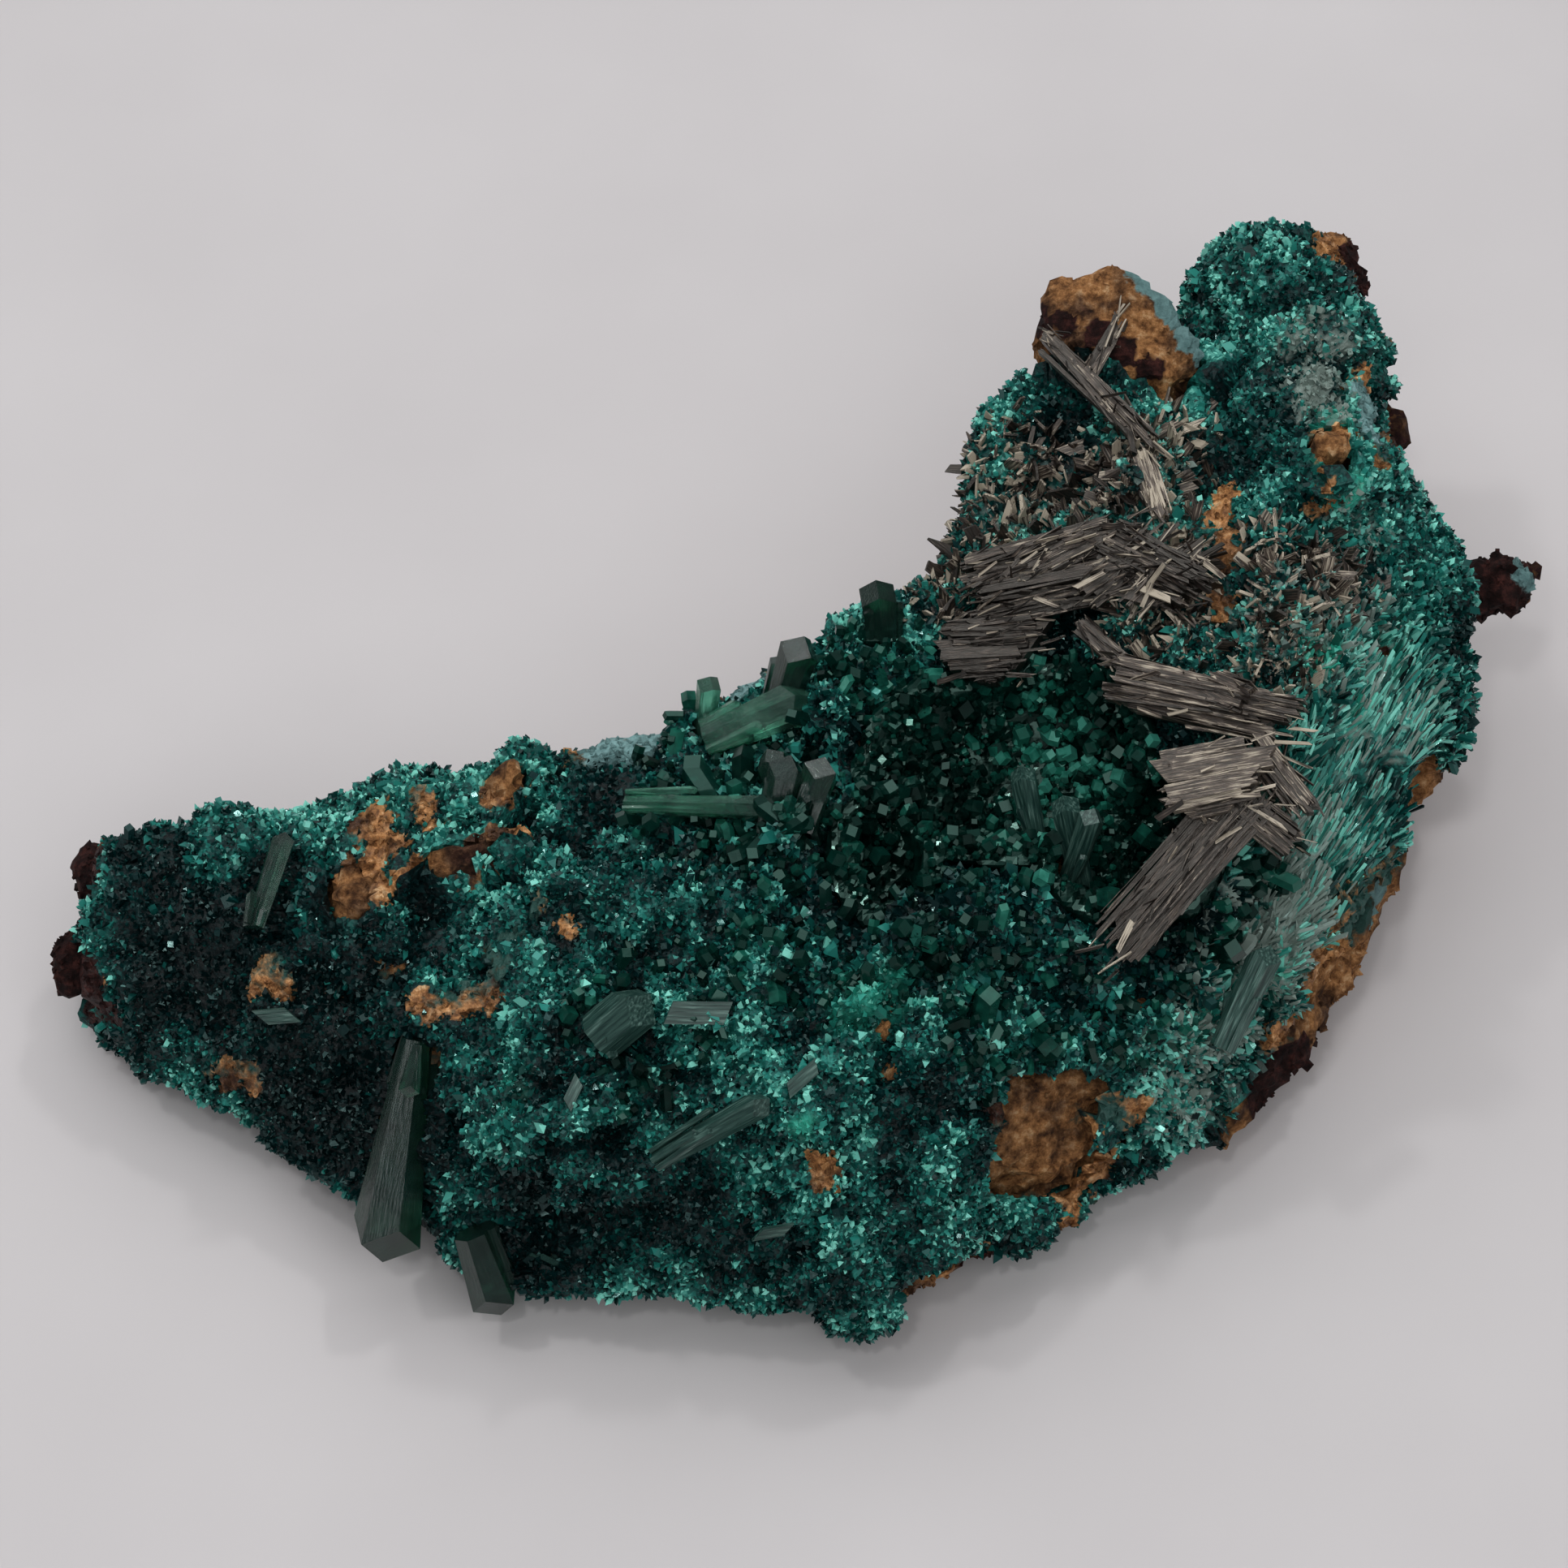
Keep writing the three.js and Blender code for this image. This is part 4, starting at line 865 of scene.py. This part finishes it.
def druse_values(places, low, spread):
    """Shade, mint and frost of the crust at some places; low is 0 on the lumps and 1 in the gaps, which get
    painted shade
    """
    count = len(places)
    # Painted shade: darker in the gaps between lumps and in the deep hollows
    shade = 0.52 + blobs(places, SHADE) - 0.5 * low - 0.34 * part_of(places, DEEP, 2)
    shade += 0.13 * noise(places, 5, 41) + 0.28 * noise(places, 1.7, 42) + 0.17 * noise(places, 0.8, 43)
    shade = np.where(shade > DARKEST, shade, DARKEST * np.exp(shade / DARKEST - 1))
    shade *= 1 + spread * random.normal(size=count)
    # A few crystals at random are made much lighter: painted glints
    shade += 0.6 * spread * (random.random(count) < 0.06)
    mint = limit(regions(places, MINT, 0.5, 0.7)) * (1 - 0.6 * low)
    frost = smooth(blobs(places, FROST) * (1 - 0.5 * low) - 0.1 - random.random(count), 0, 0.3)
    return {"shade": limit(shade), "mint": 0.8 * mint, "frost": frost}


# The ground of the druse, rebuilt lumpy, and chipped where it is bare
points, normals, sizes, corners = rebuilt("dioptase_crust", CRUST_GRID)
outside = facing_out(points, normals, rock_tree)
flakes = cell_centres(points, 0.95, 61)
bare = smooth(regions(flakes, BARE, 0.3, 0.25), 0.25, 0.75)
low = lowness(points)
flaked = (1 - part_of(points, FLAT)) * (0.45 * noise(flakes, 1.1, 36) + 0.2 * noise(points, 0.8, 37))
chipped = 0.5 - blobs(points, SWELL) - 0.7 * flaked - 0.1 * noise(flakes, 0.7, 38)
depth = sunk(points, low)
depth = depth + bare * (chipped - depth)
points = off_floor(points + normals * (depth * (1 - 2 * outside))[:, None])
# Its shade is painted darker in the gaps between lumps: painted shade
values = druse_values(points, low, 0.0)
values["shade"] = limit(values["shade"] - 0.08)
values.update(rock_values(points), bare=bare)
ground = piece("druse_ground", (points, sizes, corners, values), GROUND, "dioptase_crust", "dioptase_crust")
ground_skin = points, read(ground.vertices, "normal"), corners.reshape(-1, 4)
ground_points = points
unrubbed = limit(1 - 1.6 * bare)
open_skin = outside * unrubbed * smooth(points[:, 2], 0.3, 0.9)


def crumbs(places, out, size):
    """Angular bits of rock that lie in its surface"""
    count = len(places)
    values = rock_values(places)
    along = unit(out + chance_ways(0.9, count))
    size = size * chance_sizes(0.3, count)
    spin, slant = chance_turns(count), 0.5 * random.random(count)
    shape = chips(places - 0.6 * size[:, None] * along, along, size, 0.9 * size, spin, slant)
    return above_floor_only(shape, CHIP, values)


# Crumbs of rock, on the bare rock and on the rubbed patches: name, where, how many and size
patch_skin = *ground_skin, outside * bare**3
CRUMBS = [("rock_crumbs", rock_skin, 1700, 0.26), ("patch_crumbs", patch_skin, 1500, 0.2)]
for name, skin, count, size in CRUMBS:
    piece(name, crumbs(*sample(*skin, count), size), GOSSAN, "matrix")

# The druse's crystals, lying down along one direction in the streaked parts
KINDS = {"prism": (prisms, HEX), "chip": (chips, CHIP), "point": (blunt_points, POINT)}
streak = unit(np.array(STREAK_WAY))
for number, (kind, count, foot, radius, growth, least) in enumerate(DRUSE_PIECES):
    base, out, here = sample(*ground_skin, open_skin, count, low)
    lying = part_of(base, STREAKED)[:, None]
    tangent = unit(streak - 0.4 * (out @ streak)[:, None] * out)
    tilt = chance_ways(0.62, count) * (1 - 0.78 * lying)
    along = unit(out * (1 - 0.9 * lying) + 1.6 * lying * tangent + tilt)
    size = chance_sizes(0.32, count) * (1 + 0.9 * part_of(base, COARSE) * random.random(count))
    size *= 1 - 0.42 * lying[:, 0]
    length = (growth * size + least) * (1 + 4 * lying[:, 0])
    ends = [chance_turns(count)]
    if kind == "chip":
        ends.append(0.9 * random.random(count))
    grow, faces = KINDS[kind]
    shape = grow(base - foot * out, along, radius * size, length, *ends)
    # Their shade is painted darker in the gaps, and a few are painted glints
    crystals = above_floor_only(shape, faces, druse_values(base, here, 0.55))
    piece(f"druse_crystals_{number + 1}", crystals, DRUSE, "dioptase_crust")

# The vug: its lining rebuilt, with blocky crystals that grow inwards
points, normals, sizes, corners = rebuilt("vug_crystals", VUG_GRID)
facing = smooth((unit(np.array(VUG_MIDDLE) + ZERO - points) * normals).sum(1), 0.05, 0.5)
points = points + normals * (0.25 * (domes(points, 1.6, 51) - 0.5) * facing)[:, None]
shade = limit(0.15 + 0.25 * noise(points, 1.4, 52))
piece("vug_lining", (points, sizes, corners, {"shade": shade}), BLOCKY, "vug_crystals", "vug_crystals")
shapes, shades = [], []
for count, radius, length in VUG_SIZES:
    base, out = sample(points, normals, corners.reshape(-1, 4), facing, count)
    size = chance_sizes(0.3, count)
    along = unit(out + np.array([0.0, -0.25, 0.8]) + chance_ways(0.5, count))
    foot = base - 0.4 * radius * out
    shapes.append(prisms(foot, along, radius * size, length * size, chance_turns(count)))
    # Painted shade, darker towards the bottom of the vug, and painted light at its listed light spots
    painted_light_and_shade = 0.06 + 0.34 * smooth(base[:, 2], 13, 20) + blobs(base, VUG_PAINTED_LIGHT)
    shades.append(limit(painted_light_and_shade + 0.24 * random.normal(size=count)))
blocky = repeat(np.concatenate(shapes), HEX, {"shade": np.concatenate(shades)})
piece("vug_blocky_crystals", blocky, BLOCKY, "vug_crystals")

# Coarse blocky crystals scattered over the middle of the crust
shapes, shades = [], []
for *at, reach, count in COARSE_SPOTS:
    weight = open_skin * smooth(reach - far_from(ground_points, at), 0, 2)
    base, out, here = sample(*ground_skin, weight, count, low)
    size = chance_sizes(0.35, count)
    along = unit(out + chance_ways(0.55, count) + np.array([0, -0.1, 0.4]))
    shapes.append(prisms(base - 0.3 * out, along, 0.28 * size, 0.95 * size + 0.25, chance_turns(count)))
    # Darker where they stand in the gaps: painted shade
    shades.append(limit(0.52 - 0.4 * here + 0.2 * random.normal(size=count)))
coarse = repeat(np.concatenate(shapes), HEX, {"shade": np.concatenate(shades)})
piece("coarse_crystals", coarse, BLOCKY, "dioptase_crust")


def grown(parts, waist, tall):
    """Prisms, each with smaller ones at its foot, and every corner's place along and across its crystal"""
    shapes, places = [], []
    for foot, tip, radius, flat in parts:
        foot = (np.array(foot) + ZERO)[None]
        axis = np.array(tip) + ZERO - foot
        x, y, z = frames(axis)
        length = np.linalg.norm(axis)
        around = chance_turns(1 + BESIDE)
        beside = 0.75 * radius * (np.cos(around)[:, None] * x + np.sin(around)[:, None] * y)
        beside[0] = 0
        share = np.array([1, *(tall * (0.5 + 0.5 * random.random(BESIDE)))])
        widths = radius * np.array([1, *(0.22 + 0.22 * random.random(BESIDE))])
        lean = axis + chance_ways(0.08 * length, 1 + BESIDE) * (share < 1)[:, None]
        spin = np.array([0, *(0.3 * random.normal(size=BESIDE))])
        shapes.append(prisms(foot + beside, lean, widths, share * length, spin, flat, waist))
        places.append(own_places(shapes[-1], foot, (x, y, z)))
    return repeat(np.concatenate(shapes), HEX, per_corner={"local": np.concatenate(places)})


# Loose frosted plates, each on the nearest place of the druse
middle, way, face = (np.array([row[n] for row in PLATES], float) for n in range(3))
length, width, slant = (np.array([row[n] for row in PLATES]) for n in (3, 4, 5))
for n, place in enumerate(middle):
    middle[n] = ground_points[np.argmin(far_from(ground_points, place))] + 0.3 * unit(face[n])
half = 0.5 * length[:, None] * unit(way)
made = laths(middle - half, middle + half, face, width, 0.3 * width, np.stack([slant, slant]))
plates = repeat(made, LATH, per_corner={"local": own_places(made, middle, frames(way, face))})
piece("frosted_plates", plates, LATH_LOOK, "dioptase")

# Large dioptase crystals
LOOKS = dict.fromkeys(["back_upright_prism", "back_long_prism", "middle_long_prism"], LIGHT_CRYSTAL)
LOOKS.update(dict.fromkeys(FROSTED_CRYSTALS, LATH_LOOK))
for name, parts_of in DIOPTASE.items():
    made = grown(parts_of, *FORMS.get(name, (0.72, 0.75)))
    piece(name + "_clear", made, LOOKS.get(name, DARK_CRYSTAL), "dioptase", name)


def blade_frame(start, end):
    """A blade's two ends, its length, its face and its own directions"""
    start, end = np.array(start) + ZERO, np.array(end) + ZERO
    face = unit(np.array([TOWARDS_VIEWER], float))
    return start, end, np.linalg.norm(end - start), face, frames((end - start)[None], face)


def striated(parts):
    """Blades of many thin laths with slanting, ragged ends, and splinters that lie along them"""
    shapes, local, shade = [], [], []
    for start, end, width, thick, count, tone in parts:
        start, end, length, face, (x, y, z) = blade_frame(start, end)
        share = chance_sizes(0.9, count)
        share = share / share.sum()
        place = np.cumsum(share) - 0.5 * share - 0.5
        bundle = np.floor(BUNDLES * (place + 0.5) * 0.999).astype(int)
        broken = [random.random(BUNDLES)[bundle] ** 1.5 + 0.25 * random.random(count) for _ in range(2)]
        round_end = 0.5 * width * (2 * place) ** 2
        along_start = END_SLANTS[0] * width * place + 0.12 * length * broken[0] + 0.5 * round_end
        along_end = END_SLANTS[1] * width * place - 0.2 * length * broken[1] - round_end

        def strewn(by_bundle, by_lath):
            """Chance shifts of both ends of each lath, in part shared by its bundle"""
            shared = by_bundle * random.normal(size=(BUNDLES, 2))[bundle]
            return shared + by_lath * random.normal(size=(count, 2))

        lift = thick * (0.1 + strewn(0.1, 0.04)) - 0.5 * thick * (2 * place[:, None]) ** 4
        fan = length * strewn(0.02, 0.008)
        a = start + (place * width + fan[:, 0])[:, None] * x + along_start[:, None] * z + lift[:, :1] * y
        b = end + (place * width + fan[:, 1])[:, None] * x + along_end[:, None] * z + lift[:, 1:] * y
        widths = width * share * 1.6
        thicks = thick * (0.6 + 0.4 * random.random(count))
        slants = 0.35 * random.normal(size=(2, count))
        # The first lath is the blade's wide body
        inset, drop = 0.14 * length * z[0], 0.2 * thick * y[0]
        a[0], b[0] = start + inset - drop, end - inset - drop
        widths[0], thicks[0], slants[:, 0] = 0.8 * width, 0.7 * thick, END_SLANTS
        # Splinters along the blade's face
        thin = round(SPLINTERS * count)
        side, at, reach = random.random(thin) - 0.5, random.random(thin), 0.12 + 0.4 * random.random(thin)
        lean = unit(z + chance_ways(0.09, thin))
        rise = 0.4 * thick * (1 - 0.9 * (2 * side) ** 4)
        top = start + (1.05 * side * width)[:, None] * x + rise[:, None] * y
        a = np.concatenate([a, top + (at * (1 - reach) * length)[:, None] * z[0]])
        b = np.concatenate([b, a[count:] + (reach * length)[:, None] * lean])
        widths = np.concatenate([widths, 0.07 + 0.16 * random.random(thin)])
        thicks = np.concatenate([thicks, 0.08 + 0.3 * random.random(thin)])
        slants = np.concatenate([slants, 0.6 * random.normal(size=(2, thin))], 1)
        shapes.append(laths(a, b, np.repeat(face, count + thin, 0), widths, thicks, slants, 0.85))
        local.append(own_places(shapes[-1], start[None], (x, y, z)))
        bright = 0.13 + tone + 0.15 * random.normal(size=count + thin)
        bright[count:] += 0.05 + 0.2 * random.random(thin) ** 2
        shade.append(np.clip(bright, 0, 0.8))
    places = {"local": np.concatenate(local)}
    return repeat(np.concatenate(shapes), LATH, {"shade": np.concatenate(shade)}, places)


for name, parts_of in CERUSSITE.items():
    piece(name + "_striated", striated(parts_of), GREY_BROWN, "cerussite", name)


def shards(base, out, length, tone, spread, slim):
    """Small flat crystals that stand about the direction out: corners, their own places and shades"""
    count = len(base)
    along = unit(out + chance_ways(spread, count))
    start = base - 0.3 * out
    width = slim * length * (0.5 + 0.8 * random.random(count))
    face = unit(random.normal(size=(count, 3)))
    slants = 0.35 * random.normal(size=(2, count))
    made = laths(start, start + along * length[:, None], face, width, 0.3 * width, slants, 0.75)
    # About a quarter of the shards are made much lighter, painted highlights, and the rest a little darker
    shine = np.where(random.random(count) < 0.27, 0.55, -0.08)
    shade = np.clip(tone + shine + 0.2 * random.normal(size=count), 0, 0.95)
    return made, own_places(made, start, frames(along, face)), shade


# Small cerussite shards, in sprays on the crust and along the blades
sprays = []
open_crust = limit(1 - 1.6 * bare - regions(ground_points, CLEAN))
for *at, reach, count in SHARDS:
    weight = outside * smooth(reach - far_from(ground_points, at), 0, 0.5 * reach) * open_crust
    base, out, here = sample(*ground_skin, weight, count, low)
    length = np.minimum(0.42 * chance_sizes(0.6, count), 1.3) + 0.3 + 0.4 * here
    # Their tone is darker in the gaps: painted shade
    sprays.append(shards(base, out, length, 0.36 - 0.25 * here, 0.8, 0.5))
for name, parts_of in CERUSSITE.items():
    for start, end, width, thick, _, tone in parts_of:
        start, end, length, face, (x, y, z) = blade_frame(start, end)
        count = round((9 * width + 2.5 * length) * OVERGROWN.get(name, 1))
        beside = random.random(count) < 0.4
        edge = np.sign(random.normal(size=count)) * (0.3 + 0.3 * random.random(count))
        side = np.where(beside, edge, random.random(count) - 0.5)
        place = start + random.random((count, 1)) * (end - start) + (side * width)[:, None] * x
        way = unit(np.where(beside[:, None], y, z + 0.1 * y) + chance_ways(0.15, count))
        length = (0.45 * chance_sizes(0.4, count) + 0.2) * np.where(beside, 1, 2)
        rise = np.where(beside, 0.25, 0.5)[:, None] * thick * y
        sprays.append(shards(place + rise, way, length, 0.22 + tone, 0.25, 0.17))
shapes, places, shades = (np.concatenate(part) for part in zip(*sprays))
joined = repeat(shapes, LATH, {"shade": shades}, {"local": places})
piece("cerussite_shards", joined, GREY_BROWN, "cerussite")

# Floor, light and camera
FLOOR = 1500
floor_corners = [[x * FLOOR, y * FLOOR, 0] for x, y in ((-1, -1), (1, -1), (1, 1), (-1, 1))]
floor_mesh = mesh_from("floor", floor_corners, [4], [0, 1, 2, 3])
floor = bpy.data.objects.new("floor", floor_mesh)
bpy.context.scene.collection.objects.link(floor)
paper = Look("paper")
tone = paper.ramp(paper.specks(40, 3), (0.3, (0.60, 0.575, 0.58)), (0.7, (0.63, 0.605, 0.61)))
paper.set(paper.shader, Base_Color=tone, Roughness=0.7)
floor_mesh.materials.append(paper.material)

world = bpy.data.worlds.new("studio")
bpy.context.scene.world = world
world.use_nodes = True
world.node_tree.nodes["Background"].inputs["Color"].default_value = (0.95, 0.97, 1.0, 1)
world.node_tree.nodes["Background"].inputs["Strength"].default_value = 0.25


def softbox(name, place, size, power):
    """A rectangular lamp that points at the specimen, in metres and watts"""
    light = bpy.data.lights.new(name, "AREA")
    light.shape = "RECTANGLE"
    light.size, light.size_y = size
    light.energy = power
    made = bpy.data.objects.new(name, light)
    made.location = place
    made.rotation_euler = (Vector((0, 0, 0.01)) - Vector(place)).to_track_quat("-Z", "Y").to_euler()
    bpy.context.scene.collection.objects.link(made)


softbox("window", (-0.08, 0.3, 0.66), (1.1, 0.7), 2.72)
softbox("fill", (0.1, -0.42, 0.6), (0.8, 0.5), 1.8)
for number, place in enumerate([(-0.32, 0.1, 0.6), (0.18, 0.3, 0.6), (-0.1, -0.25, 0.68)]):
    softbox(f"lamp_{number + 1}", place, (0.05, 0.05), 0.4)

ELEVATION = math.radians(55)
DISTANCE = 268
aim = Vector(np.array([0, 0, 10]) + ZERO) * MM
camera_data = bpy.data.cameras.new("camera")
camera_data.lens, camera_data.sensor_width = 100, 36
camera_data.clip_start, camera_data.clip_end = 0.01, 20
camera = bpy.data.objects.new("camera", camera_data)
away = Vector((0, -math.cos(ELEVATION), math.sin(ELEVATION)))
camera.location = aim + away * DISTANCE * MM
camera.rotation_euler = (-away).to_track_quat("-Z", "Y").to_euler()
bpy.context.scene.collection.objects.link(camera)
bpy.context.scene.camera = camera
view = bpy.context.scene.view_settings
view.view_transform = "Standard"
view.exposure = 0.05
view.gamma = 0.9
